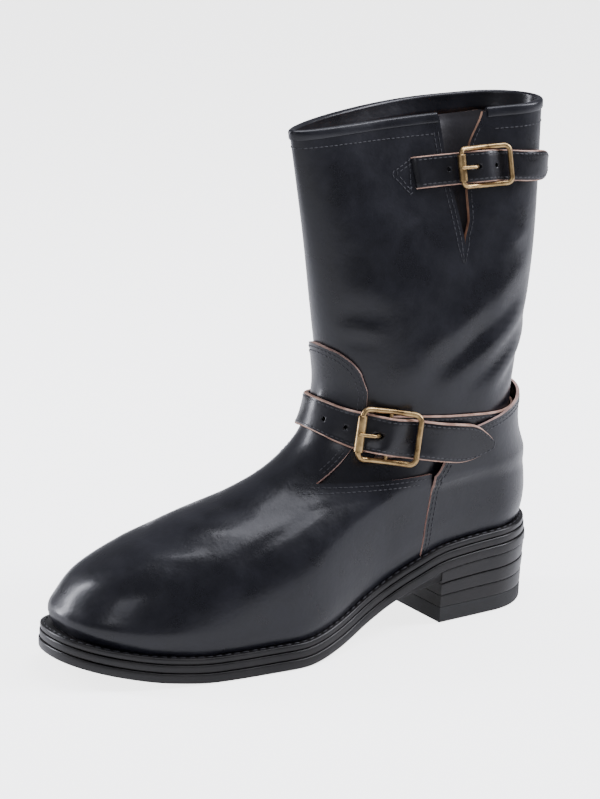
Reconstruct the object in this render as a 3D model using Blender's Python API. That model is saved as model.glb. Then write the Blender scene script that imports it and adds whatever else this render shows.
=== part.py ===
"""Tall engineer boot for the left foot, standing empty on its sole.

Metres, +Z up, toe towards -Y, outer side of the foot towards +X.
The origin is on the floor under the middle of the heel.
"""
from math import acos, cos, pi, sin

import bmesh
import bpy
from mathutils import Matrix, Vector

COLLECTION = "engineer_boot"
CUTTERS = "cutters"

# Sole unit
HEEL_PITCH = 0.034
OUTSOLE = 0.0055
MIDSOLE = 0.0045
WELT = 0.0035
INSOLE = 0.0030
TOP_PIECE = 0.0090
HEEL_BREAST_Y = -0.036
HEEL_LIFTS = 3
HEEL_TAPER = 0.0028
LIFT_STEP = 0.0004
MIDSOLE_INSET = 0.0006
WELT_INSET = 0.0010
WELT_UNDER_UPPER = 0.0035
HEEL_STEPS = 12
GAP = 0.0003
SEAT_GAP = 0.0006

# Upper
WALL = 0.0026
LINING_CLEARANCE = 0.0008
HEEL_Y = 0.000
WAIST_Y = -0.070
BALL_Y = -0.160
BALL_SKEW = 0.013
BACK_POWER = 2.0
AROUND = 54
SOLE_AROUND = 88

# Height of the outsole's underside along the foot: y, rise
SOLE_LINE = (
    (0.050, HEEL_PITCH + 0.0010),
    (0.000, HEEL_PITCH),
    (-0.030, HEEL_PITCH - 0.0020),
    (-0.056, HEEL_PITCH - 0.0095),
    (-0.085, HEEL_PITCH - 0.0210),
    (-0.112, HEEL_PITCH - 0.0300),
    (-0.138, 0.0),
    (-0.188, 0.0),
    (-0.214, 0.0022),
    (-0.240, 0.0068),
    (-0.262, 0.0118),
    (-0.300, 0.0200),
)

# Sideways swing of the foot's middle line: y, x
FOOT_CURVE = (
    (0.040, 0.0000),
    (0.000, 0.0005),
    (-0.070, 0.0038),
    (-0.115, 0.0040),
    (-0.160, 0.0000),
    (-0.210, -0.0055),
    (-0.265, -0.0090),
)

PLAN_FIELDS = ("front_y", "back_y", "heel", "waist", "ball", "back_run", "front_run", "front_power")
SOLE_PLAN = dict(zip(PLAN_FIELDS, (-0.2610, 0.0390, 0.0375, 0.0350, 0.0535, 0.0375, 0.0930, 2.30)))

# Sections of the upper, from the feather line over the instep to the collar.
# front_z and back_z of the first two follow from the welt.
SECTION_FIELDS = PLAN_FIELDS + ("front_z", "back_z", "follow", "swing", "bow")
SECTIONS = (
    (-0.2500, 0.0325, 0.0305, 0.0285, 0.0465, 0.0315, 0.0830, 2.30, 0.0000, 0.0000, 1.00, 1.00, 0.0000),
    (-0.2528, 0.0343, 0.0325, 0.0310, 0.0490, 0.0330, 0.0860, 2.30, 0.0080, 0.0080, 1.00, 1.00, 0.0000),
    (-0.2495, 0.0354, 0.0333, 0.0332, 0.0495, 0.0340, 0.0900, 2.30, 0.0385, 0.0650, 0.85, 1.00, 0.0000),
    (-0.2390, 0.0354, 0.0335, 0.0348, 0.0482, 0.0345, 0.0970, 2.25, 0.0505, 0.0720, 0.62, 1.00, 0.0000),
    (-0.2190, 0.0348, 0.0337, 0.0360, 0.0452, 0.0350, 0.1030, 2.20, 0.0605, 0.0790, 0.38, 0.95, 0.0000),
    (-0.1910, 0.0334, 0.0340, 0.0368, 0.0412, 0.0355, 0.1050, 2.10, 0.0700, 0.0850, 0.18, 0.85, 0.0000),
    (-0.1610, 0.0316, 0.0345, 0.0374, 0.0370, 0.0360, 0.1000, 2.00, 0.0790, 0.0900, 0.06, 0.70, 0.0000),
    (-0.1330, 0.0300, 0.0352, 0.0378, 0.0345, 0.0370, 0.0890, 2.00, 0.0890, 0.0945, 0.00, 0.50, 0.0000),
    (-0.1110, 0.0284, 0.0362, 0.0381, 0.0340, 0.0385, 0.0770, 2.00, 0.1020, 0.0990, 0.00, 0.30, 0.0000),
    (-0.0980, 0.0270, 0.0375, 0.0385, 0.0340, 0.0400, 0.0680, 2.00, 0.1170, 0.1045, 0.00, 0.15, 0.0000),
    (-0.0920, 0.0265, 0.0388, 0.0386, 0.0340, 0.0415, 0.0620, 2.00, 0.1380, 0.1130, 0.00, 0.05, 0.0000),
    (-0.0935, 0.0285, 0.0392, 0.0375, 0.0330, 0.0420, 0.0600, 2.00, 0.1600, 0.1340, 0.00, 0.00, 0.0000),
    (-0.0975, 0.0365, 0.0372, 0.0338, 0.0290, 0.0400, 0.0610, 2.00, 0.1870, 0.1670, 0.00, 0.00, -0.0010),
    (-0.1035, 0.0443, 0.0318, 0.0262, 0.0220, 0.0350, 0.0640, 2.00, 0.2280, 0.2170, 0.00, 0.00, -0.0050),
    (-0.1125, 0.0495, 0.0240, 0.0170, 0.0140, 0.0270, 0.0700, 2.00, 0.2830, 0.2860, 0.00, 0.00, -0.0140),
)
COLLAR = len(SECTIONS) - 1
LEVELS = (0.0, 0.6, 1.2, 1.9, 2.6, 3.3, 4.1, 5.0, 6.0, 7.0, 8.0, 8.8, 9.6, 10.4, 11.2, 12.0, 12.9, 14.0)

# Slit near the back of the outer side: depth below the collar, front y, rear y
COLLAR_Z = 0.2852
SLIT = (
    (-0.008, -0.0221, 0.0060),
    (0.0000, -0.0220, 0.0042),
    (0.0190, -0.0217, -0.0068),
    (0.0415, -0.0196, -0.0110),
    (0.0560, -0.0178, -0.0119),
    (0.0700, -0.0165, -0.0165),
)
SLIT_REACH = (0.003, 0.070)

# Overlays on the upper
OVERLAY = 0.0018
OVERLAY_GAP = 0.0007
VAMP_FOOT_LEVEL = 0.18
VAMP_LEVELS = (VAMP_FOOT_LEVEL, 0.6, 1.2, 1.9, 2.6, 3.3, 4.1, 5.0, 6.0)
VAMP_WING_COLUMNS = 11
VAMP_SHIELD_COLUMNS = 6
VAMP_WING_Z = 0.091
SHIELD_TURN = 6 / AROUND
SHIELD_ROWS = 5
# Top of the shield from its middle (0) to its edge (1): share of the half width, height
SHIELD_TOP = ((0.0, 0.1640), (0.45, 0.1620), (0.75, 0.1570), (0.92, 0.1500), (1.0, 0.1400))
# Seam where the counter meets the vamp: height, y
SIDE_SEAM = ((0.045, -0.0500), (0.095, -0.0460))
SEAM_GAP = 0.0010
COUNTER_RIM = (
    (0.0300, 0.1280),
    (0.0260, 0.1260),
    (0.0165, 0.1230),
    (0.0010, 0.1190),
    (-0.0170, 0.1150),
    (-0.0320, 0.1060),
    (-0.0460, 0.0900),
)
COUNTER_LIFT = ((0.079, 0.0008), (0.091, 0.0036))
COUNTER_COLUMNS = 11
COUNTER_ROWS = 8

# Strip over the back seam
STAY_BOTTOM = 0.1215
STAY_HALF = 0.0045
STAY_THICKNESS = 0.0012
STAY_ROWS = 8
STAY_TURN = 0.01

# Rolled collar edge: offset from the outer skin, height above the collar
BINDING_DROP = 0.0042
BINDING_BREAK = 0.002
BINDING_PROFILE = (
    (0.0004, -0.0034),
    (0.0012, -0.0032),
    (0.0018, -0.0018),
    (0.0017, -0.0002),
    (0.0008, 0.0012),
    (-0.0013, 0.0017),
    (-0.0034, 0.0012),
    (-0.0043, -0.0003),
    (-0.0046, -0.0110),
    (-0.0034, -0.0110),
    (-0.0030, 0.0003),
    (0.0004, 0.0003),
)

# Gusset
GUSSET_ROWS = 8
GUSSET_COLUMNS = 12
GUSSET_FRONT_Y = -0.0300
GUSSET_REAR_Y = 0.0135
GUSSET_FOOT_Y = (-0.0240, -0.0090)
GUSSET_TOP = 0.0010
GUSSET_RIM = 0.0015
GUSSET_ROUND_FROM = 0.8
GUSSET_CORNER = 0.0050
GUSSET_DEPTH = 0.0800
GUSSET_FOLD = 0.0080
GUSSET_SEAT = 0.0053
GUSSET_THICKNESS = 0.0014

# Top strap: middle line as y, height; lifts as place around, gap to the upper
POINT_NARROWING = 0.86
POINT_POWER = 2.2
TOP_CENTRE = ((-0.060, 0.2560), (0.000, 0.2560), (0.050, 0.2520))
TOP_HALF = 0.0085
TOP_THICKNESS = 0.0022
TOP_SPAN = (0.036, 0.2755)
TOP_POINT = 0.016
TOP_BUCKLE_Y = -0.0016
TOP_LIFT = (
    (0.036, 0.0030),
    (0.095, 0.0026),
    (0.140, 0.0026),
    (0.160, 0.0028),
    (0.189, 0.0066),
    (0.218, 0.0024),
    (0.240, 0.0012),
    (0.2755, 0.0004),
)
ANCHOR_SPAN = (0.110, 0.196)
ANCHOR_HALF = 0.0080
ANCHOR_THICKNESS = 0.0014
ANCHOR_LIFT = ((0.110, 0.0004), (0.196, 0.0006))
TOP_BUCKLE = {
    "length": 0.033, "height": 0.0236, "wire": 0.0014, "corner": 0.0030, "arch": 0.0032,
    "bar": 0.0010, "roller": 0.0024, "prong": 0.0010, "lift": 0.0082,
    "hole": (-0.0056, 0.0030, 0.0054),
    "prong_path": ((-0.0044, -0.0026), (-0.0058, 0.0004), (-0.0074, 0.0024), (-0.0092, 0.0034)),
}

# Instep strap and the heel strap that carries its buckle
PRONG_TIP = (0.0024, 0.0022, 0.0004)
PUNCH_REACH = 0.012
INSTEP_CENTRE = (
    (-0.1010, 0.1265),
    (-0.0940, 0.1225),
    (-0.0850, 0.1185),
    (-0.0530, 0.1120),
    (-0.0200, 0.1060),
    (0.0270, 0.0980),
)
INSTEP_HALF = 0.0115
INSTEP_THICKNESS = 0.0026
INSTEP_SPAN = (0.175, 0.738)
INSTEP_POINT = 0.020
INSTEP_BUCKLE_Y = -0.0700
INSTEP_LIFT = (
    (0.175, 0.0062),
    (0.262, 0.0061),
    (0.288, 0.0048),
    (0.310, 0.0036),
    (0.342, 0.0068),
    (0.376, 0.0036),
    (0.420, 0.0037),
    (0.640, 0.0034),
    (0.665, 0.0036),
    (0.738, 0.0036),
)
HEEL_STRAP_CENTRE = ((-0.070, 0.1145), (-0.023, 0.1105), (0.027, 0.1065))
HEEL_STRAP_SPAN = (-0.325, 0.345)
HEEL_STRAP_THICKNESS = 0.0018
HEEL_STRAP_LIFT = ((-0.325, 0.0005), (0.345, 0.0005))
INSTEP_BUCKLE = {
    "length": 0.036, "height": 0.0310, "wire": 0.0016, "corner": 0.0038, "arch": 0.0036,
    "bar": 0.0011, "roller": 0.0026, "prong": 0.0011, "lift": 0.0086,
    "hole": (-0.0062, 0.0032, 0.0058),
    "prong_path": ((-0.0048, -0.0032), (-0.0064, 0.0004), (-0.0082, 0.0026), (-0.0100, 0.0036)),
}


def smooth(table, at):
    """Read a two-column table with a curve that never overshoots and ends level."""
    rows = sorted(table)
    if at <= rows[0][0]:
        return rows[0][1]
    if at >= rows[-1][0]:
        return rows[-1][1]
    steps = [b[0] - a[0] for a, b in zip(rows, rows[1:])]
    rises = [(b[1] - a[1]) / step for a, b, step in zip(rows, rows[1:], steps)]
    slopes = [0.0]
    for before, after in zip(rises, rises[1:]):
        slopes.append(0.0 if before * after <= 0 else 2 * before * after / (before + after))
    slopes.append(0.0)
    k = next(i for i, step in enumerate(steps) if at <= rows[i + 1][0])
    t = (at - rows[k][0]) / steps[k]
    start = (1 + 2 * t) * (1 - t) ** 2 * rows[k][1] + t * (1 - t) ** 2 * steps[k] * slopes[k]
    end = t * t * (3 - 2 * t) * rows[k + 1][1] - t * t * (1 - t) * steps[k] * slopes[k + 1]
    return start + end


def outsole_floor(y):
    return smooth(SOLE_LINE, y)


def midsole_floor(y):
    return outsole_floor(y) + OUTSOLE + GAP


def welt_floor(y):
    return midsole_floor(y) + MIDSOLE + GAP


def welt_top(y):
    return welt_floor(y) + WELT


def end_round(distance, run, power):
    """Fade of a half width towards an end of the plan: 2 is elliptical, more is blunter."""
    left = 1 - min(max(distance / run, 0.0), 1.0)
    return (1 - left ** power) ** (1 / power)


def plan_point(plan, around, inset=0.0):
    """Point of a plan outline: 0 at the back, 0.25 on the outer side, 0.5 at the toe."""
    turn = around % 1.0
    side = 1 if turn <= 0.5 else -1
    along = (1 - cos(2 * pi * turn)) / 2
    back = plan["back_y"] - inset
    front = plan["front_y"] + inset
    y = back + (front - back) * along
    ball_y = BALL_Y + side * BALL_SKEW
    stations = ((HEEL_Y, plan["heel"]), (WAIST_Y, plan["waist"]), (ball_y, plan["ball"]))
    half = smooth(stations, y) - inset
    half *= end_round(back - y, plan["back_run"] - inset, BACK_POWER)
    half *= end_round(y - front, plan["front_run"], plan["front_power"])
    return along, y, side * half


def section_at(level):
    """Row of the section table at a fractional level, with the welt's heights filled in."""
    rows = []
    for shift in (-1, 0, 1, 2):
        index = min(max(int(min(level, COLLAR - 1e-6)) + shift, 0), COLLAR)
        row = dict(zip(SECTION_FIELDS, SECTIONS[index]))
        if index < 2:
            row["front_z"] += welt_top(row["front_y"]) + SEAT_GAP
            row["back_z"] += welt_top(row["back_y"]) + SEAT_GAP
        rows.append(row)
    t = level - int(min(level, COLLAR - 1e-6))
    weights = (
        -0.5 * t + t * t - 0.5 * t ** 3,
        1 - 2.5 * t * t + 1.5 * t ** 3,
        0.5 * t + 2 * t * t - 1.5 * t ** 3,
        -0.5 * t * t + 0.5 * t ** 3,
    )
    return {name: sum(w * row[name] for w, row in zip(weights, rows)) for name in SECTION_FIELDS}


def skin(around, level):
    """Outer surface of the upper, from the feather line (0) to the collar."""
    row = section_at(level)
    along, y, reach = plan_point(row, around)
    chord = welt_top(row["back_y"]) * (1 - along) + welt_top(row["front_y"]) * along
    z = row["back_z"] * (1 - along) + row["front_z"] * along + row["follow"] * (welt_top(y) - chord)
    middle = row["swing"] * smooth(FOOT_CURVE, y) + row["bow"] * sin(pi * along)
    return Vector((middle + reach, y, z))


def skin_normal(around, level):
    step = 0.004
    low = max(level - 0.05, 0.0)
    high = min(level + 0.05, COLLAR)
    ahead = skin(around + step, level) - skin(around - step, level)
    up = skin(around, high) - skin(around, low)
    return up.cross(ahead).normalized()


def on_upper(around, level, offset=0.0):
    return skin(around, level) + offset * skin_normal(around, level)


def new_material(name, colour, roughness, metallic=0.0):
    material = bpy.data.materials.new(name)
    material.use_nodes = True
    shader = material.node_tree.nodes["Principled BSDF"]
    shader.inputs["Base Color"].default_value = (*colour, 1.0)
    shader.inputs["Roughness"].default_value = roughness
    shader.inputs["Metallic"].default_value = metallic
    return material


def add_solid(name, points, faces, material):
    """Closed body from a lofted set of points, faces turned outwards."""
    mesh = bpy.data.meshes.new(name)
    mesh.from_pydata([tuple(point) for point in points], [], faces)
    work = bmesh.new()
    work.from_mesh(mesh)
    bmesh.ops.delete(work, geom=[vertex for vertex in work.verts if not vertex.link_faces], context="VERTS")
    bmesh.ops.remove_doubles(work, verts=work.verts, dist=1e-6)
    bmesh.ops.recalc_face_normals(work, faces=work.faces)
    work.to_mesh(mesh)
    work.free()
    if material:
        mesh.materials.append(material)
    body = bpy.data.objects.new(name, mesh)
    bpy.data.collections[COLLECTION].objects.link(body)
    return body


def loop_faces(first, second, count, closed=True):
    """Quads between two rows of points that start at these indices."""
    last = count if closed else count - 1
    return [(first + i, first + (i + 1) % count, second + (i + 1) % count, second + i) for i in range(last)]


def pair_cap(start, count):
    """Strips across a loop whose points mirror each other about its two ends."""
    return [(start + i, start + i + 1, start + count - i - 1, start + (count - i) % count)
            for i in range(count // 2)]


def loft(name, loops, material):
    """Solid through closed loops, capped straight across at both ends."""
    count = len(loops[0])
    faces = pair_cap(0, count) + pair_cap(count * (len(loops) - 1), count)
    for k in range(len(loops) - 1):
        faces += loop_faces(k * count, (k + 1) * count, count)
    return add_solid(name, [point for loop in loops for point in loop], faces, material)


def shell(name, outer, inner, material, closed, keep=None):
    """Solid wall between two grids of rows; keep chooses the cells of a stepped outline."""
    count = len(outer[0])
    size = count * len(outer)
    cells = []
    for row in range(len(outer) - 1):
        strip = loop_faces(row * count, (row + 1) * count, count, closed)
        cells += [cell for column, cell in enumerate(strip) if keep is None or keep(row, column)]
    borders = {}
    for cell in cells:
        for first, second in zip(cell, cell[1:] + cell[:1]):
            borders[frozenset((first, second))] = borders.get(frozenset((first, second)), 0) + 1
    faces = cells + [tuple(size + corner for corner in cell) for cell in cells]
    for border, uses in borders.items():
        if uses == 1:
            first, second = border
            faces.append((first, second, size + second, size + first))
    points = [point for grid in (outer, inner) for row in grid for point in row]
    return add_solid(name, points, faces, material)


def plan_loop(plan, height, inset=0.0):
    """Closed outline of a sole layer at a height given along the foot."""
    loop = []
    for i in range(SOLE_AROUND):
        _, y, reach = plan_point(plan, i / SOLE_AROUND, inset)
        loop.append((smooth(FOOT_CURVE, y) + reach, y, height(y)))
    return loop


def make_outsole(material):
    floor = plan_loop(SOLE_PLAN, outsole_floor)
    top = plan_loop(SOLE_PLAN, lambda y: outsole_floor(y) + OUTSOLE)
    loft("outsole", (floor, top), material)


def make_midsole(material):
    floor = plan_loop(SOLE_PLAN, midsole_floor, MIDSOLE_INSET)
    top = plan_loop(SOLE_PLAN, lambda y: midsole_floor(y) + MIDSOLE, MIDSOLE_INSET)
    loft("midsole", (floor, top), material)


def feather_plan():
    return dict(zip(PLAN_FIELDS, SECTIONS[0]))


def make_welt(material):
    """Flat strip round the whole foot, from the sole's edge to under the insole."""
    inset = WALL + WELT_UNDER_UPPER
    rings = (
        plan_loop(SOLE_PLAN, welt_floor, WELT_INSET),
        plan_loop(SOLE_PLAN, welt_top, WELT_INSET),
        plan_loop(feather_plan(), welt_top, inset),
        plan_loop(feather_plan(), welt_floor, inset),
    )
    faces = []
    for k in range(4):
        faces += loop_faces(k * SOLE_AROUND, (k + 1) % 4 * SOLE_AROUND, SOLE_AROUND)
    add_solid("welt", [point for ring in rings for point in ring], faces, material)


def make_insole(material):
    """Footbed with a rib that drops inside the welt."""
    rib = WALL + WELT_UNDER_UPPER + GAP
    edge = WALL + LINING_CLEARANCE
    loops = (
        plan_loop(feather_plan(), lambda y: welt_floor(y), rib),
        plan_loop(feather_plan(), lambda y: welt_top(y) + SEAT_GAP, rib),
        plan_loop(feather_plan(), lambda y: welt_top(y) + SEAT_GAP, edge),
        plan_loop(feather_plan(), lambda y: welt_top(y) + SEAT_GAP + INSOLE, edge),
    )
    loft("insole", loops, material)


def heel_loop(height, inset):
    """Outline of the heel: the sole's back, closed by the straight breast."""
    back = SOLE_PLAN["back_y"] - inset
    reach = (back - HEEL_BREAST_Y) / (back - SOLE_PLAN["front_y"] - inset)
    limit = 0.0
    while (1 - cos(2 * pi * limit)) / 2 < reach:
        limit += 0.0005
    loop = []
    for i in range(-HEEL_STEPS, HEEL_STEPS + 1):
        _, y, x = plan_point(SOLE_PLAN, limit * i / HEEL_STEPS, inset)
        loop.append((smooth(FOOT_CURVE, y) + x, y, height(y)))
    return loop


def heel_layer(name, low, high, low_inset, high_inset, material):
    bottom = heel_loop(low, low_inset)
    top = heel_loop(high, high_inset)
    count = len(bottom)
    faces = loop_faces(0, count, count)
    for start in (0, count):
        faces += [(start + i, start + i + 1, start + count - i - 2, start + count - i - 1)
                  for i in range(count // 2)]
    add_solid(name, bottom + top, faces, material)


def make_heel(leather, rubber):
    def lift_height(k):
        def height(y):
            share = k / HEEL_LIFTS
            return TOP_PIECE + GAP + (outsole_floor(y) - GAP - TOP_PIECE - GAP) * share
        return height

    heel_layer("heel_top_piece", lambda y: 0.0, lambda y: TOP_PIECE, HEEL_TAPER, HEEL_TAPER - LIFT_STEP,
               rubber)
    for k in range(HEEL_LIFTS):
        base = lift_height(k)
        roof = lift_height(k + 1)
        low_inset = HEEL_TAPER * (1 - k / HEEL_LIFTS) + LIFT_STEP * (k - 1)
        high_inset = max(HEEL_TAPER * (1 - (k + 1) / HEEL_LIFTS), LIFT_STEP)
        top = roof if k == HEEL_LIFTS - 1 else (lambda y, roof=roof: roof(y) - GAP)
        heel_layer(f"heel_lift_{k + 1}", base, top, low_inset, high_inset, leather)


def make_upper(material):
    """One hollow wall, cut by the slit from the collar down."""
    outer = [[on_upper(i / AROUND, level) for i in range(AROUND)] for level in LEVELS]
    inner = [[on_upper(i / AROUND, level, -WALL) for i in range(AROUND)] for level in LEVELS]
    upper = shell("upper", outer, inner, material, True)
    cut(upper, slit_wedge())


def slit_wedge():
    """Cutter in the side outline of the slit, reaching from inside the shaft out past its wall."""
    front = [(y, COLLAR_Z - depth) for depth, y, _ in SLIT]
    rear = [(y, COLLAR_Z - depth) for depth, _, y in SLIT]
    outline = front + rear[-2::-1]
    points = [(x, y, z) for x in SLIT_REACH for y, z in outline]
    count = len(outline)
    faces = loop_faces(0, count, count) + [tuple(range(count)), tuple(range(count, 2 * count))]
    return add_cutter("slit_wedge", points, faces)


def add_cutter(name, points, faces):
    cutter = add_solid(name, points, faces, None)
    bpy.data.collections[COLLECTION].objects.unlink(cutter)
    bpy.data.collections[CUTTERS].objects.link(cutter)
    cutter.hide_render = True
    cutter.display_type = "WIRE"
    return cutter


def cut(body, cutter, operation="DIFFERENCE"):
    step = body.modifiers.new(cutter.name, "BOOLEAN")
    step.operation = operation
    step.solver = "EXACT"
    step.object = cutter


def level_at(around, height):
    """Level at which the upper crosses a height that is given along the foot."""
    return level_along(lambda level: around, height)


def level_along(turn_at, height):
    """The same, where the place around the upper changes with the level."""
    low, high = 0.0, float(COLLAR)
    for _ in range(28):
        middle = (low + high) / 2
        point = skin(turn_at(middle), middle)
        if point.z < height(point.y):
            low = middle
        else:
            high = middle
    return (low + high) / 2


def around_at(level, y):
    """Place on the outer half of a section where it passes a y."""
    row = section_at(level)
    along = (row["back_y"] - y) / (row["back_y"] - row["front_y"])
    return acos(1 - 2 * min(max(along, 0.0), 1.0)) / (2 * pi)


def strap(name, span, columns, centre, half, lift, thickness, material, point_run=0.0, rows=2):
    """Flat strap laid on the upper between two places around it, with an optional pointed end."""
    start, end = span
    outer = [[] for _ in range(rows + 1)]
    inner = [[] for _ in range(rows + 1)]
    for i in range(columns + 1):
        share = i / columns
        if point_run:
            share = 1 - cos(pi * share / 2)
        around = start + (end - start) * share
        middle = skin(around, level_at(around, lambda y: smooth(centre, y)))
        narrow = half
        if point_run:
            first = skin(start, level_at(start, lambda y: smooth(centre, y)))
            left = 1 - min((middle - first).length / point_run, 1.0)
            narrow = half * (1 - POINT_NARROWING * left ** POINT_POWER)
        for j in range(rows + 1):
            shift = narrow * (2 * j / rows - 1)
            level = level_at(around, lambda y: smooth(centre, y) + shift)
            rise = smooth(lift, around)
            inner[j].append(on_upper(around, level, rise))
            outer[j].append(on_upper(around, level, rise + thickness))
    return shell(name, outer, inner, material, False)


def side_seam(level, shift=0.0):
    """Place around the upper where a section passes the seam between vamp and counter."""
    return around_at(level, smooth(SIDE_SEAM, skin(0.22, level).z) + shift)


def vamp_spot(across, row):
    """Place on the vamp: across is 0 in front, 1 at the shield's edge and 2 at the rear edge."""
    edge = 0.5 - SHIELD_TURN
    level = VAMP_LEVELS[min(row, len(VAMP_LEVELS) - 1)]
    for _ in range(4):
        turn = 0.5 - SHIELD_TURN * across
        if across > 1:
            rear = side_seam(level)
            turn = edge + (rear - edge) * (across - 1)
        if row >= len(VAMP_LEVELS):
            wing = level_at(turn, lambda y: VAMP_WING_Z)
            top = level_at(turn, lambda y: smooth(SHIELD_TOP, across))
            share = (row - len(VAMP_LEVELS)) / SHIELD_ROWS
            level = wing + (top - wing) * share if across <= 1 else wing
    return turn, level


def make_vamp(material):
    """Foot part with the shield that runs up the front of the shaft."""
    half = [1 + (VAMP_WING_COLUMNS - k) / VAMP_WING_COLUMNS for k in range(VAMP_WING_COLUMNS)]
    half += [(VAMP_SHIELD_COLUMNS - k) / VAMP_SHIELD_COLUMNS for k in range(VAMP_SHIELD_COLUMNS)]
    columns = [(across, 1) for across in half] + [(0.0, 1)] + [(across, -1) for across in reversed(half)]
    outer, inner = [], []
    for row in range(len(VAMP_LEVELS) + 1 + SHIELD_ROWS):
        spots = []
        for across, side in columns:
            turn, level = vamp_spot(across, row)
            spots.append((turn if side > 0 else 1 - turn, level))
        inner.append([on_upper(turn, level, OVERLAY_GAP) for turn, level in spots])
        outer.append([on_upper(turn, level, OVERLAY_GAP + OVERLAY) for turn, level in spots])
    first = VAMP_WING_COLUMNS
    last = len(columns) - 2 - VAMP_WING_COLUMNS

    def keep(row, column):
        return row < len(VAMP_LEVELS) or first <= column <= last

    shell("vamp", outer, inner, material, False, keep)


def make_counter(material):
    """Heel cover, standing off towards its rim so that the heel strap can pass inside."""
    outer, inner = [], []
    for k in range(-COUNTER_COLUMNS, COUNTER_COLUMNS + 1):
        share = sin(pi / 2 * abs(k) / COUNTER_COLUMNS)
        limit = level_along(lambda level: share * side_seam(level, SEAM_GAP),
                            lambda y: smooth(COUNTER_RIM, y))
        column_outer, column_inner = [], []
        for row in range(COUNTER_ROWS + 1):
            level = VAMP_FOOT_LEVEL + (limit - VAMP_FOOT_LEVEL) * row / COUNTER_ROWS
            turn = share * side_seam(level, SEAM_GAP)
            turn = turn if k >= 0 else 1 - turn
            lift = smooth(COUNTER_LIFT, skin(turn, level).z)
            column_inner.append(on_upper(turn, level, lift))
            column_outer.append(on_upper(turn, level, lift + OVERLAY))
        outer.append(column_outer)
        inner.append(column_inner)
    shell("heel_counter", outer, inner, material, False)


def make_back_stay(material):
    outer, inner = [], []
    for j in range(STAY_ROWS + 1):
        z = STAY_BOTTOM + (COLLAR_Z - BINDING_DROP - STAY_BOTTOM) * j / STAY_ROWS
        for grid, offset in ((inner, OVERLAY_GAP), (outer, OVERLAY_GAP + STAY_THICKNESS)):
            row = []
            for k in range(-2, 3):
                level = level_at(0.0, lambda y: z)
                per_turn = (skin(STAY_TURN, level) - skin(-STAY_TURN, level)).length / (2 * STAY_TURN)
                row.append(on_upper(STAY_HALF * k / 2 / per_turn, level, offset))
            grid.append(row)
    shell("back_stay", outer, inner, material, False)


def make_binding(material):
    """Rolled edge over the collar, with its facing inside; it breaks at the slit."""
    start = around_at(COLLAR, SLIT[0][1] - GAP) + BINDING_BREAK
    end = 1 + around_at(COLLAR, SLIT[0][2]) - BINDING_BREAK
    between = range(int(start * AROUND) + 1, int(end * AROUND) + 1)
    stations = [start] + [k / AROUND for k in between] + [end]
    rings = []
    for around in stations:
        base = skin(around, COLLAR)
        out = skin_normal(around, COLLAR)
        up = (base - skin(around, COLLAR - 0.05)).normalized()
        rings.append([base + out * offset + up * height for offset, height in BINDING_PROFILE])
    count = len(BINDING_PROFILE)
    last = count * (len(stations) - 1)
    faces = [tuple(range(count)), tuple(range(last, last + count))]
    for k in range(len(stations) - 1):
        faces += loop_faces(k * count, (k + 1) * count, count)
    add_solid("collar_binding", [point for ring in rings for point in ring], faces, material)


def make_gusset(material):
    """Soft leaf behind the slit, fixed to the front flap and free behind, folded inwards."""
    outer, inner = [], []
    for j in range(GUSSET_ROWS + 1):
        sink = j / GUSSET_ROWS
        row_outer, row_inner = [], []
        for i in range(GUSSET_COLUMNS + 1):
            share = i / GUSSET_COLUMNS
            front_y = GUSSET_FRONT_Y * (1 - sink) + GUSSET_FOOT_Y[0] * sink
            rear_y = GUSSET_REAR_Y * (1 - sink) + GUSSET_FOOT_Y[1] * sink
            y = front_y + (rear_y - front_y) * share
            rounded = max(0.0, (share - GUSSET_ROUND_FROM) / (1 - GUSSET_ROUND_FROM))
            corner = GUSSET_CORNER * rounded ** 2 * (1 - sink)
            z = COLLAR_Z + GUSSET_TOP - corner - GUSSET_DEPTH * sink
            level = level_at(0.21, lambda _: min(z, COLLAR_Z - GUSSET_RIM))
            above = max(0.0, z - COLLAR_Z + GUSSET_RIM)
            turn = around_at(level, y)
            fold = GUSSET_FOLD * sin(pi * share ** 0.8) ** 1.3 * (1 - sink) ** 1.2
            depth = -(GUSSET_SEAT + fold)
            rise = Vector((0, 0, above))
            row_outer.append(on_upper(turn, level, depth) + rise)
            row_inner.append(on_upper(turn, level, depth - GUSSET_THICKNESS) + rise)
        outer.append(row_outer)
        inner.append(row_inner)
    shell("gusset", outer, inner, material, False)


def buckle_frame_at(centre, centre_y, lift):
    """Local axes of a buckle: along the strap to the rear, across it upwards, and out of the leg."""
    level = level_at(0.25, lambda y: smooth(centre, centre_y))
    for _ in range(4):
        turn = around_at(level, centre_y)
        level = level_at(turn, lambda y: smooth(centre, y))
    point = skin(turn, level)
    out = skin_normal(turn, level)
    ahead = skin(turn - 0.01, level_at(turn - 0.01, lambda y: smooth(centre, y))) - point
    along = (ahead - out * ahead.dot(out)).normalized()
    across = out.cross(along)
    place = Matrix((along, across, out)).transposed().to_4x4()
    place.translation = point + out * lift
    return place


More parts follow.
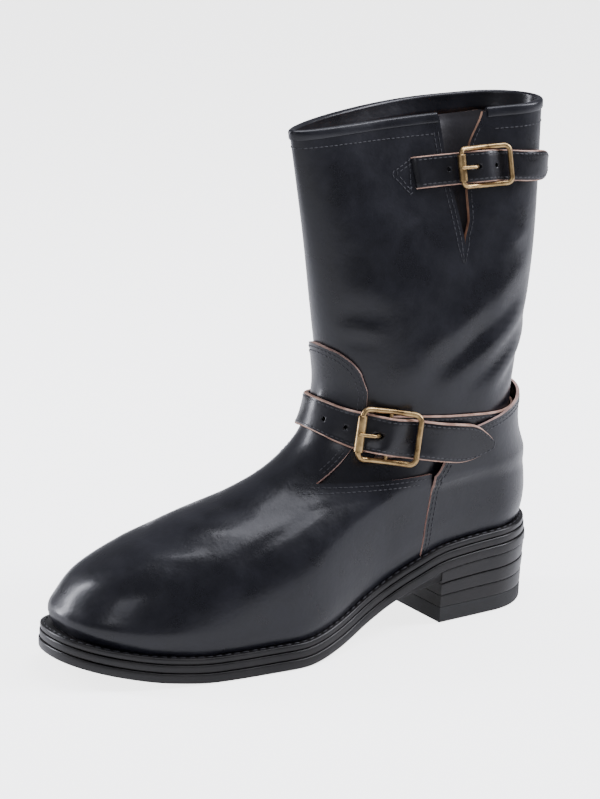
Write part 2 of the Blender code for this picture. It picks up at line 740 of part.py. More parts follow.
def wire_mesh(name, points, radius, cyclic, place, material):
    """Round wire through the points, as a closed mesh in its place."""
    curve = bpy.data.curves.new(name + "_path", "CURVE")
    curve.dimensions = "3D"
    curve.bevel_depth = radius
    curve.bevel_resolution = 2
    curve.use_fill_caps = not cyclic
    spline = curve.splines.new("POLY")
    spline.points.add(len(points) - 1)
    for point, target in zip(points, spline.points):
        target.co = (*point, 1.0)
    spline.use_cyclic_u = cyclic
    guide = bpy.data.objects.new(name + "_path", curve)
    bpy.data.collections[COLLECTION].objects.link(guide)
    bpy.context.view_layer.update()
    ready = guide.evaluated_get(bpy.context.evaluated_depsgraph_get())
    mesh = bpy.data.meshes.new_from_object(ready)
    bpy.data.objects.remove(guide, do_unlink=True)
    work = bmesh.new()
    work.from_mesh(mesh)
    bmesh.ops.remove_doubles(work, verts=work.verts, dist=1e-6)
    bmesh.ops.transform(work, matrix=place, verts=work.verts)
    bmesh.ops.recalc_face_normals(work, faces=work.faces)
    work.to_mesh(mesh)
    work.free()
    mesh.name = name
    mesh.materials.clear()
    mesh.materials.append(material)
    body = bpy.data.objects.new(name, mesh)
    bpy.data.collections[COLLECTION].objects.link(body)
    return body


def make_buckle(prefix, size, place, material):
    """Bar buckle: arched frame with a middle bar, a roller on its front bar, and a prong."""
    half_long, half_tall = size["length"] / 2 - size["wire"], size["height"] / 2 - size["wire"]
    corner = size["corner"]
    path = []
    for quarter in range(4):
        sign_x = 1 if quarter in (0, 3) else -1
        sign_y = 1 if quarter in (0, 1) else -1
        for step in range(3):
            angle = pi / 2 * (quarter + step / 2)
            x = sign_x * (half_long - corner) + corner * cos(angle)
            y = sign_y * (half_tall - corner) + corner * sin(angle)
            path.append((x, y))
        if quarter in (0, 2):
            for x in (sign_x * half_long * 0.4, 0.0, -sign_x * half_long * 0.4):
                path.append((x, sign_y * half_tall))
    arch = [(x, y, -size["arch"] * (1 - (x / half_long) ** 2)) for x, y in path]
    frame = wire_mesh(prefix + "_buckle_frame", arch, size["wire"], True, place, material)
    ends = [(0.0, y, -size["arch"]) for y in (-half_tall, half_tall)]
    bar = wire_mesh(prefix + "_buckle_bar", ends, size["bar"], False, place, material)
    bpy.data.collections[COLLECTION].objects.unlink(bar)
    bpy.data.collections[CUTTERS].objects.link(bar)
    bar.hide_render = True
    bar.display_type = "WIRE"
    cut(frame, bar, "UNION")

    reach = half_tall - corner
    rings = []
    for radius in (size["roller"], size["wire"] + GAP):
        for y in (-reach, reach):
            rings.append([place @ Vector((-half_long + radius * cos(pi * k / 6), y, radius * sin(pi * k / 6)))
                          for k in range(12)])
    faces = []
    for first, second in ((0, 1), (1, 3), (3, 2), (2, 0)):
        faces += loop_faces(first * 12, second * 12, 12)
    add_solid(prefix + "_buckle_roller", [point for ring in rings for point in ring], faces, material)

    top = size["roller"] + size["prong"] + GAP
    over, past, droop = PRONG_TIP
    prong = [(x, 0.0, z) for x, z in size["prong_path"]]
    prong += [(-half_long + over, 0.0, top), (-half_long, 0.0, top), (-half_long - past, 0.0, top - droop)]
    wire_mesh(prefix + "_buckle_prong", prong, size["prong"], False, place, material)


def prong_hole(name, size, place):
    x, width, length = size["hole"]
    points = [place @ Vector((x + length / 2 * a, width / 2 * b, PUNCH_REACH * c))
              for a in (-1, 1) for b in (-1, 1) for c in (-1, 1)]
    faces = [(0, 1, 3, 2), (4, 5, 7, 6), (0, 1, 5, 4), (2, 3, 7, 6), (0, 2, 6, 4), (1, 3, 7, 5)]
    return add_cutter(name, points, faces)


def clear_scene():
    for item in list(bpy.data.objects):
        bpy.data.objects.remove(item, do_unlink=True)
    for name in (COLLECTION, CUTTERS):
        bpy.context.scene.collection.children.link(bpy.data.collections.new(name))


def main():
    clear_scene()
    black = new_material("black_leather", (0.018, 0.017, 0.022), 0.30)
    sole_leather = new_material("sole_leather", (0.030, 0.026, 0.026), 0.45)
    tan = new_material("natural_leather", (0.72, 0.50, 0.28), 0.60)
    suede = new_material("dark_suede", (0.050, 0.035, 0.035), 0.90)
    rubber = new_material("black_rubber", (0.020, 0.020, 0.020), 0.70)
    brass = new_material("aged_brass", (0.50, 0.35, 0.16), 0.30, 1.0)
    make_outsole(sole_leather)
    make_midsole(sole_leather)
    make_welt(sole_leather)
    make_heel(sole_leather, rubber)
    make_insole(tan)
    make_upper(black)
    make_vamp(black)
    make_counter(black)
    make_back_stay(black)
    make_binding(black)
    make_gusset(suede)

    top_place = buckle_frame_at(TOP_CENTRE, TOP_BUCKLE_Y, TOP_BUCKLE["lift"])
    make_buckle("top", TOP_BUCKLE, top_place, brass)
    top = strap("top_strap", TOP_SPAN, 30, TOP_CENTRE, TOP_HALF, TOP_LIFT, TOP_THICKNESS, black, TOP_POINT)
    cut(top, prong_hole("top_prong_hole", TOP_BUCKLE, top_place))
    strap("top_buckle_strap", ANCHOR_SPAN, 8, TOP_CENTRE, ANCHOR_HALF, ANCHOR_LIFT, ANCHOR_THICKNESS, black)

    instep_place = buckle_frame_at(INSTEP_CENTRE, INSTEP_BUCKLE_Y, INSTEP_BUCKLE["lift"])
    make_buckle("instep", INSTEP_BUCKLE, instep_place, brass)
    instep = strap("instep_strap", INSTEP_SPAN, 38, INSTEP_CENTRE, INSTEP_HALF, INSTEP_LIFT, INSTEP_THICKNESS,
                   black, INSTEP_POINT)
    cut(instep, prong_hole("instep_prong_hole", INSTEP_BUCKLE, instep_place))
    strap("heel_strap", HEEL_STRAP_SPAN, 30, HEEL_STRAP_CENTRE, INSTEP_HALF, HEEL_STRAP_LIFT,
          HEEL_STRAP_THICKNESS, black)


main()
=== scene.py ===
"""Looks of a tall black engineer boot for the left foot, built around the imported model."""

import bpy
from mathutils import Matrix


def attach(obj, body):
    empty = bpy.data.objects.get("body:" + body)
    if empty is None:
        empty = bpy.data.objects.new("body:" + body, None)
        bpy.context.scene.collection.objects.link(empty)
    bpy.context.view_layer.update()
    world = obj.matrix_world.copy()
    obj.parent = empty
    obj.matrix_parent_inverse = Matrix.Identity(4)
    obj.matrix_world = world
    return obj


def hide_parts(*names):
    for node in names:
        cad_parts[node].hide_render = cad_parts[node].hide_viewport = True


bl_info = {
    "name": "Engineer Boot",
    "version": (1, 0, 0),
    "blender": (4, 5, 0),
    "location": "View3D > Sidebar > Boot",
    "description": "Builds the leather, stitching, buckles and sole of a tall engineer boot",
    "category": "Add Mesh",
}

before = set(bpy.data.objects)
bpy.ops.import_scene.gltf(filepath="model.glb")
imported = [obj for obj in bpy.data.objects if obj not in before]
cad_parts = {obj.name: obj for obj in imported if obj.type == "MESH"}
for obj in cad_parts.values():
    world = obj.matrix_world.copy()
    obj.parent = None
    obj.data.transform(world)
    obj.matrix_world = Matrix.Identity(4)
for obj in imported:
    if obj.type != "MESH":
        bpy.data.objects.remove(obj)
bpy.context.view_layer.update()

from math import cos, pi, radians, sin

import bmesh
import bpy
import numpy as np
from bpy.props import FloatProperty, FloatVectorProperty, IntProperty, PointerProperty
from mathutils import Matrix, Vector

MERGE_DISTANCE = 2e-6

# Sole unit
HEEL_PITCH = 0.034
OUTSOLE = 0.0055
MIDSOLE = 0.0045
WELT = 0.0035
INSOLE = 0.0030
TOP_PIECE = 0.0090
HEEL_BREAST_Y = -0.036
HEEL_LIFTS = 3
HEEL_TAPER = 0.0028
LIFT_STEP = 0.0004
MIDSOLE_INSET = 0.0006
WELT_INSET = 0.0010
WELT_UNDER_UPPER = 0.0035
FOOTBED_EASE = 0.0008
GAP = 0.0003
SEAT_GAP = 0.0006

# Rounded edges of the sole unit
SOLE_BEVEL = 0.0007
WELT_BEVEL = 0.0008
TOP_PIECE_BEVEL = 0.0005
LIFT_BEVEL = 0.0003
BEVEL_MIDDLE = 0.3
SOLE_SHARP = 60

# Side of a heel layer: share of its height, share of its bevel
LAYER_SIDE = ((0.0, 1.0), (0.06, BEVEL_MIDDLE), (0.16, 0.0), (0.84, 0.0), (0.94, BEVEL_MIDDLE), (1.0, 1.0))

# Upper
WALL = 0.0026
HEEL_Y = 0.000
WAIST_Y = -0.070
BALL_Y = -0.160
BALL_SKEW = 0.013
BACK_POWER = 2.0

# Height of the outsole's underside along the foot: y, rise
SOLE_LINE = (
    (0.050, HEEL_PITCH + 0.0010),
    (0.000, HEEL_PITCH),
    (-0.030, HEEL_PITCH - 0.0020),
    (-0.056, HEEL_PITCH - 0.0095),
    (-0.085, HEEL_PITCH - 0.0210),
    (-0.112, HEEL_PITCH - 0.0300),
    (-0.138, 0.0),
    (-0.188, 0.0),
    (-0.214, 0.0022),
    (-0.240, 0.0068),
    (-0.262, 0.0118),
    (-0.300, 0.0200),
)

# Sideways swing of the foot's middle line: y, x
FOOT_CURVE = (
    (0.040, 0.0000),
    (0.000, 0.0005),
    (-0.070, 0.0038),
    (-0.115, 0.0040),
    (-0.160, 0.0000),
    (-0.210, -0.0055),
    (-0.265, -0.0090),
)

# Plan outlines: ends, half widths at heel, waist and ball, length and power of the rounded ends
PLAN_FIELDS = ("front_y", "back_y", "heel", "waist", "ball", "back_run", "front_run", "front_power")
SOLE_PLAN = dict(zip(PLAN_FIELDS, (-0.2610, 0.0390, 0.0375, 0.0350, 0.0535, 0.0375, 0.0930, 2.30)))

# Sections of the upper, from the feather line over the instep to the collar
SECTION_FIELDS = PLAN_FIELDS + ("front_z", "back_z", "follow", "swing", "bow")
SECTIONS = (
    (-0.2500, 0.0325, 0.0305, 0.0285, 0.0465, 0.0315, 0.0830, 2.30, 0.0000, 0.0000, 1.00, 1.00, 0.0000),
    (-0.2528, 0.0343, 0.0325, 0.0310, 0.0490, 0.0330, 0.0860, 2.30, 0.0080, 0.0080, 1.00, 1.00, 0.0000),
    (-0.2495, 0.0354, 0.0333, 0.0332, 0.0495, 0.0340, 0.0900, 2.30, 0.0385, 0.0650, 0.85, 1.00, 0.0000),
    (-0.2390, 0.0354, 0.0335, 0.0348, 0.0482, 0.0345, 0.0970, 2.25, 0.0505, 0.0720, 0.62, 1.00, 0.0000),
    (-0.2190, 0.0348, 0.0337, 0.0360, 0.0452, 0.0350, 0.1030, 2.20, 0.0605, 0.0790, 0.38, 0.95, 0.0000),
    (-0.1910, 0.0334, 0.0340, 0.0368, 0.0412, 0.0355, 0.1050, 2.10, 0.0700, 0.0850, 0.18, 0.85, 0.0000),
    (-0.1610, 0.0316, 0.0345, 0.0374, 0.0370, 0.0360, 0.1000, 2.00, 0.0790, 0.0900, 0.06, 0.70, 0.0000),
    (-0.1330, 0.0300, 0.0352, 0.0378, 0.0345, 0.0370, 0.0890, 2.00, 0.0890, 0.0945, 0.00, 0.50, 0.0000),
    (-0.1110, 0.0284, 0.0362, 0.0381, 0.0340, 0.0385, 0.0770, 2.00, 0.1020, 0.0990, 0.00, 0.30, 0.0000),
    (-0.0980, 0.0270, 0.0375, 0.0385, 0.0340, 0.0400, 0.0680, 2.00, 0.1170, 0.1045, 0.00, 0.15, 0.0000),
    (-0.0920, 0.0265, 0.0388, 0.0386, 0.0340, 0.0415, 0.0620, 2.00, 0.1380, 0.1130, 0.00, 0.05, 0.0000),
    (-0.0935, 0.0285, 0.0392, 0.0375, 0.0330, 0.0420, 0.0600, 2.00, 0.1600, 0.1340, 0.00, 0.00, 0.0000),
    (-0.0975, 0.0365, 0.0372, 0.0338, 0.0290, 0.0400, 0.0610, 2.00, 0.1870, 0.1670, 0.00, 0.00, -0.0010),
    (-0.1035, 0.0443, 0.0318, 0.0262, 0.0220, 0.0350, 0.0640, 2.00, 0.2280, 0.2170, 0.00, 0.00, -0.0050),
    (-0.1125, 0.0495, 0.0240, 0.0170, 0.0140, 0.0270, 0.0700, 2.00, 0.2830, 0.2860, 0.00, 0.00, -0.0140),
)
COLLAR = len(SECTIONS) - 1
FEATHER_PLAN = dict(zip(PLAN_FIELDS, SECTIONS[0]))

# Rough places around the upper of the slit and of the buckles, from which closer ones are found
SLIT_TURN = 0.2
OUTER_TURN = 0.25

# Slit near the back of the outer side: depth below the collar, front y, rear y
COLLAR_Z = 0.2852
SLIT = (
    (-0.008, -0.0221, 0.0060),
    (0.0000, -0.0220, 0.0042),
    (0.0190, -0.0217, -0.0068),
    (0.0415, -0.0196, -0.0110),
    (0.0560, -0.0178, -0.0119),
    (0.0700, -0.0165, -0.0165),
)
SLIT_FOOT_DEPTH = SLIT[-1][0]
COLUMN_GATHER = 0.035

# Overlays on the upper
OVERLAY = 0.0018
OVERLAY_GAP = 0.0007
OVERLAY_SINK = 0.0004
VAMP_FOOT_LEVEL = 0.18
VAMP_WING_Z = 0.091
SHIELD_TURN = 6 / 54
SHIELD_TOP = ((0.0, 0.1640), (0.45, 0.1620), (0.75, 0.1570), (0.92, 0.1500), (1.0, 0.1400))
SIDE_SEAM = ((0.045, -0.0500), (0.095, -0.0460))
SEAM_GAP = 0.0010
COUNTER_RIM = (
    (0.0300, 0.1280),
    (0.0260, 0.1260),
    (0.0165, 0.1230),
    (0.0010, 0.1190),
    (-0.0170, 0.1150),
    (-0.0320, 0.1060),
    (-0.0460, 0.0900),
)
COUNTER_LIFT = ((0.079, 0.0008), (0.091, 0.0036))
STAY_BOTTOM = 0.1215
STAY_HALF = 0.0045
STAY_THICKNESS = 0.0012
STAY_SINK = 0.0005
STAY_FEATHER = (0.75, 5)
BINDING_DROP = 0.0042
BINDING_BREAK = 0.002

# Collar bead: skirt outside the wall, radius over the wall's half and flattening, facing inside the wall
BINDING_SKIRT = ((0.0004, -0.0034), (0.0008, -0.0026))
BEAD_EXTRA = 0.0007
BEAD_RISE = 0.0006
BEAD_FLAT = 0.8
BINDING_FACING = (
    (-0.0008, -0.0030),
    (-0.0018, -0.0060),
    (-0.0020, -0.0108),
    (-0.0014, -0.0112),
    (-0.0008, -0.0110),
    (-0.0002, 0.0002),
)
BINDING_SEAT = (0.0000, 0.0002)

# Gusset
GUSSET_FRONT_Y = -0.0300
GUSSET_REAR_Y = 0.0135
GUSSET_FOOT_Y = (-0.0240, -0.0090)
GUSSET_TOP = 0.0010
GUSSET_CORNER = 0.0050
GUSSET_DEPTH = 0.0800
GUSSET_FOLD = 0.0080
GUSSET_SEAT = 0.0053
GUSSET_THICKNESS = 0.0014
GUSSET_RIM = 0.0015
GUSSET_ROUND_FROM = 0.8
GUSSET_RIPPLE = 0.0005

# Straps: middle line as y, height; lift as place around the upper, gap to it
TOP_STRAP = {
    "centre": ((-0.060, 0.2560), (0.000, 0.2560), (0.050, 0.2520)),
    "half": 0.0085, "thickness": 0.0022, "span": (0.036, 0.2755), "point": 0.016,
    "lift": ((0.036, 0.0030), (0.095, 0.0026), (0.140, 0.0026), (0.160, 0.0028), (0.189, 0.0066),
             (0.218, 0.0024), (0.240, 0.0012), (0.2755, 0.0004)),
}
TOP_ANCHOR = {
    "centre": TOP_STRAP["centre"], "half": 0.0080, "thickness": 0.0014, "span": (0.110, 0.196), "point": 0.0,
    "lift": ((0.110, 0.0004), (0.196, 0.0006)),
}
INSTEP_STRAP = {
    "centre": ((-0.1010, 0.1265), (-0.0940, 0.1225), (-0.0850, 0.1185), (-0.0530, 0.1120),
               (-0.0200, 0.1060), (0.0270, 0.0980)),
    "half": 0.0115, "thickness": 0.0026, "span": (0.175, 0.738), "point": 0.020,
    "lift": ((0.175, 0.0062), (0.262, 0.0061), (0.288, 0.0048), (0.310, 0.0036), (0.342, 0.0068),
             (0.376, 0.0036), (0.420, 0.0037), (0.640, 0.0034), (0.665, 0.0036), (0.738, 0.0036)),
}
HEEL_STRAP = {
    "centre": ((-0.070, 0.1145), (-0.023, 0.1105), (0.027, 0.1065)),
    "half": 0.0115, "thickness": 0.0018, "span": (-0.325, 0.345), "point": 0.0,
    "lift": ((-0.325, 0.0005), (0.345, 0.0005)),
}

# Buckles in their own axes, along the strap to the rear and out of the leg: hole as place, width, length;
# spare holes and prong path as places along the strap, the path with its rise
TOP_BUCKLE = {
    "length": 0.033, "height": 0.0236, "wire": 0.0014, "corner": 0.0030, "arch": 0.0032,
    "bar": 0.0010, "roller": 0.0024, "prong": 0.0010, "lift": 0.0082, "y": -0.0016,
    "hole": (-0.0056, 0.0030, 0.0054), "spare_holes": (0.0215, -0.0075),
    "prong_path": ((-0.0044, -0.0026), (-0.0058, 0.0004), (-0.0074, 0.0024), (-0.0092, 0.0034)),
}
INSTEP_BUCKLE = {
    "length": 0.036, "height": 0.0310, "wire": 0.0016, "corner": 0.0038, "arch": 0.0036,
    "bar": 0.0011, "roller": 0.0026, "prong": 0.0011, "lift": 0.0086, "y": -0.0700,
    "hole": (-0.0062, 0.0032, 0.0058), "spare_holes": (0.0240, 0.0370),
    "prong_path": ((-0.0048, -0.0032), (-0.0064, 0.0004), (-0.0082, 0.0026), (-0.0100, 0.0036)),
}

# Holes, strap points and prongs
SPARE_HOLE = 0.0012
PUNCH_REACH = 0.010
POINT_NARROWING = 0.86
POINT_POWER = 2.2
PRONG_TIP = (0.0024, 0.0022, 0.0004)
PRONG_TAPER = ((0, 0.05, 0.9, 1), (0.75, 1, 0.95, 0.55))
ROLLER_ROUND = 0.0003
TOP_STRAP_SINK = 0.0030
SINK_FROM = 0.975
TOP_ANCHOR_COLUMNS = 50

# Stitch rows: distance from the edge, or depth below the collar, that they follow
EDGE_ROWS = (0.0020, 0.0044)
SLIT_FRONT_ROWS = (0.0021, 0.0046)
SLIT_REAR_ROW = 0.0022
SLIT_ROWS_FROM = 0.0100
SLIT_APEX = (-0.0178, 0.0785)
COLLAR_ROW = 0.0098
COLLAR_ROW_ENDS = 0.012
WING_ROW_OVERLAP = 0.004
SEAM_ROW_REACH = 0.006
WELT_ROW = 0.0032
WELT_THREAD_OVER = 0.0001
STRAP_ROW = 0.0024
TOP_STRAP_ROW = 0.0020
TOP_ROW_END = 0.97
INSTEP_CROSS_ROWS = (0.800, 0.810, 0.985)

# Arrowhead that holds the top strap: upper, pointed and lower corner as y, height
ARROWHEAD = ((-0.0440, 0.2632), (-0.0562, 0.2570), (-0.0458, 0.2450))
ARROWHEAD_ROWS = (0.0, 0.0024)

# Slightly cool studio light
LIGHT_TINT = (0.90, 0.91, 1.0)

# Lights: place to the right, towards the camera and up from the boot's middle, then width and height
LIGHT_TARGET = (0.0, -0.05, 0.14)
LIGHTS = {
    "key": (1.20, -0.10, 0.95, 0.35, 1.1),
    "rim": (-1.15, -0.30, 0.30, 0.22, 1.2),
    "fill": (-0.55, 1.3, 0.9, 0.5, 0.5),
    "top": (0.25, -0.25, 1.5, 1.0, 0.8),
}
SENSOR_HEIGHT = 36.0
FLOOR_RADIUS = 9.0
FLOOR_DROP = 0.0003

# Glow of the floor for the leather and for the camera
FLOOR_GLOW = (0.30, 3.20)

# Soft troughs (depth below zero) and ridges laid on the upper, in metres:
# place around and height at both ends, sag of the middle, half width, depth
CREASE_FIELDS = ("from_turn", "from_z", "to_turn", "to_z", "sag", "width", "depth")
CREASES = (
    (0.105, 0.2030, 0.350, 0.1360, 0.0040, 0.0095, 0.0016),
    (0.090, 0.1900, 0.300, 0.1400, 0.0030, 0.0070, -0.0015),
    (0.085, 0.1790, 0.250, 0.1420, 0.0020, 0.0050, 0.0012),
    (0.075, 0.1690, 0.220, 0.1360, 0.0020, 0.0042, -0.0014),
    (0.070, 0.1590, 0.190, 0.1320, 0.0015, 0.0036, 0.0009),
    (0.060, 0.1490, 0.160, 0.1300, 0.0015, 0.0034, -0.0009),
    (0.150, 0.1840, 0.210, 0.1640, 0.0010, 0.0026, 0.0005),
    (0.110, 0.2180, 0.205, 0.1960, 0.0020, 0.0060, 0.0007),
    (0.100, 0.2120, 0.175, 0.1990, 0.0015, 0.0045, -0.0007),
    (0.010, 0.1900, 0.085, 0.1660, -0.0020, 0.0060, -0.0012),
    (0.000, 0.1760, 0.080, 0.1520, -0.0015, 0.0050, 0.0009),
    (0.005, 0.1600, 0.070, 0.1420, -0.0010, 0.0040, -0.0009),
    (0.240, 0.1640, 0.300, 0.1480, 0.0020, 0.0070, -0.0008),
    (0.300, 0.1900, 0.420, 0.1960, 0.0030, 0.0080, 0.0007),
    (0.330, 0.1800, 0.455, 0.1830, 0.0020, 0.0040, -0.0007),
    (0.350, 0.1720, 0.450, 0.1730, 0.0015, 0.0032, 0.0005),
    (0.360, 0.1665, 0.440, 0.1660, 0.0010, 0.0028, -0.0005),
    (0.270, 0.2350, 0.310, 0.2280, 0.0010, 0.0024, -0.0004),
    (0.275, 0.2320, 0.320, 0.2230, 0.0010, 0.0022, 0.0003),
    (0.150, 0.2250, 0.205, 0.2330, 0.0020, 0.0060, 0.0006),
    (0.330, 0.2450, 0.345, 0.1980, 0.0030, 0.0110, 0.0008),
    (0.800, 0.1760, 0.930, 0.1700, -0.0030, 0.0065, -0.0013),
    (0.790, 0.1650, 0.915, 0.1580, -0.0025, 0.0050, 0.0010),
    (0.800, 0.1540, 0.900, 0.1470, -0.0020, 0.0045, -0.0010),
    (0.560, 0.1820, 0.680, 0.1780, 0.0020, 0.0045, -0.0007),
    (0.570, 0.1730, 0.660, 0.1700, 0.0020, 0.0035, 0.0005),
    (0.600, 0.2300, 0.720, 0.2100, 0.0040, 0.0110, -0.0008),
    (0.830, 0.2350, 0.930, 0.2200, 0.0030, 0.0090, -0.0007),
    (0.400, 0.0790, 0.600, 0.0790, 0.0012, 0.0045, -0.0010),
    (0.390, 0.0720, 0.600, 0.0715, 0.0012, 0.0040, 0.0008),
    (0.385, 0.0665, 0.610, 0.0660, 0.0010, 0.0036, -0.0010),
    (0.380, 0.0620, 0.600, 0.0615, 0.0010, 0.0030, 0.0005),
    (0.330, 0.0800, 0.360, 0.0560, 0.0020, 0.0050, -0.0007),
    (0.670, 0.0800, 0.640, 0.0560, -0.0020, 0.0050, -0.0007),
)


def smooth(rows, at):
    """Read places and values, in rising order, with a curve that never overshoots and ends level."""
    at = np.asarray(at, float)
    places = [row[0] for row in rows]
    values = [row[1] for row in rows]
    steps = [b - a for a, b in zip(places, places[1:])]
    rises = [(b - a) / step for a, b, step in zip(values, values[1:], steps)]
    slopes = [0.0]
    for before, after in zip(rises, rises[1:]):
        agree = before * after > 0
        slopes.append(np.where(agree, 2 * before * after / np.where(agree, before + after, 1.0), 0.0))
    slopes.append(0.0)
    result = values[0] + np.zeros(at.shape)
    for k, step in enumerate(steps):
        t = np.clip((at - places[k]) / step, 0, 1)
        start = (1 + 2 * t) * (1 - t) ** 2 * values[k] + t * (1 - t) ** 2 * step * slopes[k]
        end = t * t * (3 - 2 * t) * values[k + 1] - t * t * (1 - t) * step * slopes[k + 1]
        result = np.where(at > places[k], start + end, result)
    return result


def read(table, at):
    """Read a table whose places may be in any order."""
    return smooth(sorted(table), at)


def unit(vectors):
    return vectors / np.maximum(np.linalg.norm(vectors, axis=-1, keepdims=True), 1e-12)


def outsole_floor(y):
    return read(SOLE_LINE, y)


def midsole_floor(y):
    return outsole_floor(y) + OUTSOLE + GAP


def welt_floor(y):
    return midsole_floor(y) + MIDSOLE + GAP


def welt_top(y):
    return welt_floor(y) + WELT


def end_round(distance, run, power):
    """Fade of a half width towards an end of the plan: 2 is elliptical, more is blunter."""
    left = 1 - np.clip(distance / run, 0.0, 1.0)
    return (1 - left ** power) ** (1 / power)


def plan_point(plan, around, inset=0.0):
    """Points of a plan outline: 0 at the back, 0.25 on the outer side, 0.5 at the toe."""
    turn = np.asarray(around, float) % 1.0
    side = np.where(turn <= 0.5, 1.0, -1.0)
    along = (1 - np.cos(2 * pi * turn)) / 2
    back = plan["back_y"] - inset
    front = plan["front_y"] + inset
    y = back + (front - back) * along
    ball_y = BALL_Y + side * BALL_SKEW
    half = smooth(((ball_y, plan["ball"]), (WAIST_Y, plan["waist"]), (HEEL_Y, plan["heel"])), y) - inset
    half = half * end_round(back - y, plan["back_run"] - inset, BACK_POWER)
    half = half * end_round(y - front, plan["front_run"], plan["front_power"])
    return along, y, side * half


def section_rows():
    """The section table as an array, with its two lowest rows seated on the welt."""
    rows = np.array(SECTIONS)
    for end in ("front", "back"):
        y, z = SECTION_FIELDS.index(end + "_y"), SECTION_FIELDS.index(end + "_z")
        rows[:2, z] += welt_top(rows[:2, y]) + SEAT_GAP
    return rows


SECTION_ROWS = section_rows()


def section_at(level):
    """Rows of the section table at fractional levels."""
    base = np.minimum(level, COLLAR - 1e-6).astype(int)
    t = (level - base)[..., None]
    weights = (
        -0.5 * t + t * t - 0.5 * t ** 3,
        1 - 2.5 * t * t + 1.5 * t ** 3,
        0.5 * t + 2 * t * t - 1.5 * t ** 3,
        -0.5 * t * t + 0.5 * t ** 3,
    )
    shifts = (-1, 0, 1, 2)
    row = sum(w * SECTION_ROWS[np.clip(base + shift, 0, COLLAR)] for w, shift in zip(weights, shifts))
    return {name: row[..., k] for k, name in enumerate(SECTION_FIELDS)}


def skin(around, level):
    """Outer surface of the upper, from the feather line (0) to the collar."""
    around, level = np.broadcast_arrays(np.asarray(around, float), np.asarray(level, float))
    row = section_at(level)
    along, y, reach = plan_point(row, around)
    chord = welt_top(row["back_y"]) * (1 - along) + welt_top(row["front_y"]) * along
    z = row["back_z"] * (1 - along) + row["front_z"] * along + row["follow"] * (welt_top(y) - chord)
    middle = row["swing"] * read(FOOT_CURVE, y) + row["bow"] * np.sin(pi * along)
    return np.stack((middle + reach, y, z), axis=-1)


def skin_normal(around, level):
    """Way out of the upper, from small steps around it and up it."""
    around, level = np.broadcast_arrays(np.asarray(around, float), np.asarray(level, float))
    aside, rise = 0.004, 0.05
    ahead = skin(around + aside, level) - skin(around - aside, level)
    up = skin(around, np.minimum(level + rise, COLLAR)) - skin(around, np.maximum(level - rise, 0.0))
    return unit(np.cross(up, ahead))


def level_at(around, height):
    """Level at which the upper crosses a height that is given along the foot."""
    return level_along(lambda level: around, height)


def level_along(turn_at, height):
    """The same, where the place around the upper changes with the level."""
    shape = np.shape(turn_at(np.zeros(())))
    low = np.zeros(np.broadcast_shapes(shape, np.shape(height(np.zeros(shape)))))
    high = low + COLLAR
    for _ in range(26):
        middle = (low + high) / 2
        point = skin(turn_at(middle), middle)
        below = point[..., 2] < height(point[..., 1])
        low = np.where(below, middle, low)
        high = np.where(below, high, middle)
    return (low + high) / 2


def around_at(level, y):
    """Place on the outer half of a section where it passes a y."""
    row = section_at(np.asarray(level, float))
    along = (row["back_y"] - y) / (row["back_y"] - row["front_y"])
    return np.arccos(1 - 2 * np.clip(along, 0.0, 1.0)) / (2 * pi)


def crease_paths():
    """Polyline, half width and depth of each crease in the table."""
    paths = []
    share = np.linspace(0, 1, 13)
    for values in CREASES:
        row = dict(zip(CREASE_FIELDS, values))
        turn = row["from_turn"] + (row["to_turn"] - row["from_turn"]) * share
        z = row["from_z"] + (row["to_z"] - row["from_z"]) * share + row["sag"] * np.sin(pi * share)
        level = level_at(turn, lambda y: z)
        paths.append((skin(turn, level), share, row["width"], row["depth"]))
    return paths


CREASE_PATHS = crease_paths()


def folds(points):
    """Rise of the leather at points of the skin, from all the creases."""
    flat = points.reshape(-1, 3)
    total = np.zeros(len(flat))
    for path, share, width, depth in CREASE_PATHS:
        centre = path.mean(axis=0)
        reach = np.linalg.norm(path - centre, axis=1).max() + 3 * width
        near = np.nonzero(np.linalg.norm(flat - centre, axis=1) < reach)[0]
        if not len(near):
            continue
        best = np.full(len(near), 1.0)
        where = np.zeros(len(near))
        for a, b, s, t in zip(path, path[1:], share, share[1:]):
            run = b - a
            k = np.clip((flat[near] - a) @ run / (run @ run), 0, 1)
            gap = np.linalg.norm(flat[near] - a - k[:, None] * run, axis=1)
            closer = gap < best
            best = np.where(closer, gap, best)
            where = np.where(closer, s + (t - s) * k, where)
        total[near] += depth * np.exp(-(best / width) ** 2) * np.sin(pi * np.clip(where, 0.02, 0.98)) ** 0.8
    return total.reshape(points.shape[:-1])


def on_upper(around, level, offset=0.0):
    """Points on the creased leather, or standing off it."""
    base = skin(around, level)
    return base + (offset + folds(base))[..., None] * skin_normal(around, level)


def side_seam(level, shift=0.0):
    """Place around the upper where a section passes the seam between vamp and counter."""
    return around_at(level, read(SIDE_SEAM, skin(0.22, level)[..., 2]) + shift)


def settle(turn, level, target):
    """Places on the skin that are nearest to the target points."""
    aside, rise = 0.002, 0.02
    for _ in range(4):
        here = skin(turn, level)
        by_turn = (skin(turn + aside, level) - skin(turn - aside, level)) / (2 * aside)
        by_level = (skin(turn, np.minimum(level + rise, COLLAR)) - here) / rise
        miss = target - here
        a = (by_turn * by_turn).sum(-1)
        b = (by_turn * by_level).sum(-1)
        c = (by_level * by_level).sum(-1)
        d = (by_turn * miss).sum(-1)
        e = (by_level * miss).sum(-1)
        ground = np.maximum(a * c - b * b, 1e-12)
        turn = turn + (c * d - b * e) / ground
        level = np.clip(level + (a * e - b * d) / ground, 0.0, COLLAR - 0.021)
    return turn, level


def beside(turn, level, inset):
    """A line on the skin at a distance to the left of another, seen along it from outside."""
    here = skin(turn, level)
    side = unit(np.cross(skin_normal(turn, level), np.gradient(here, axis=0)))
    return settle(turn, level, here + inset * side)


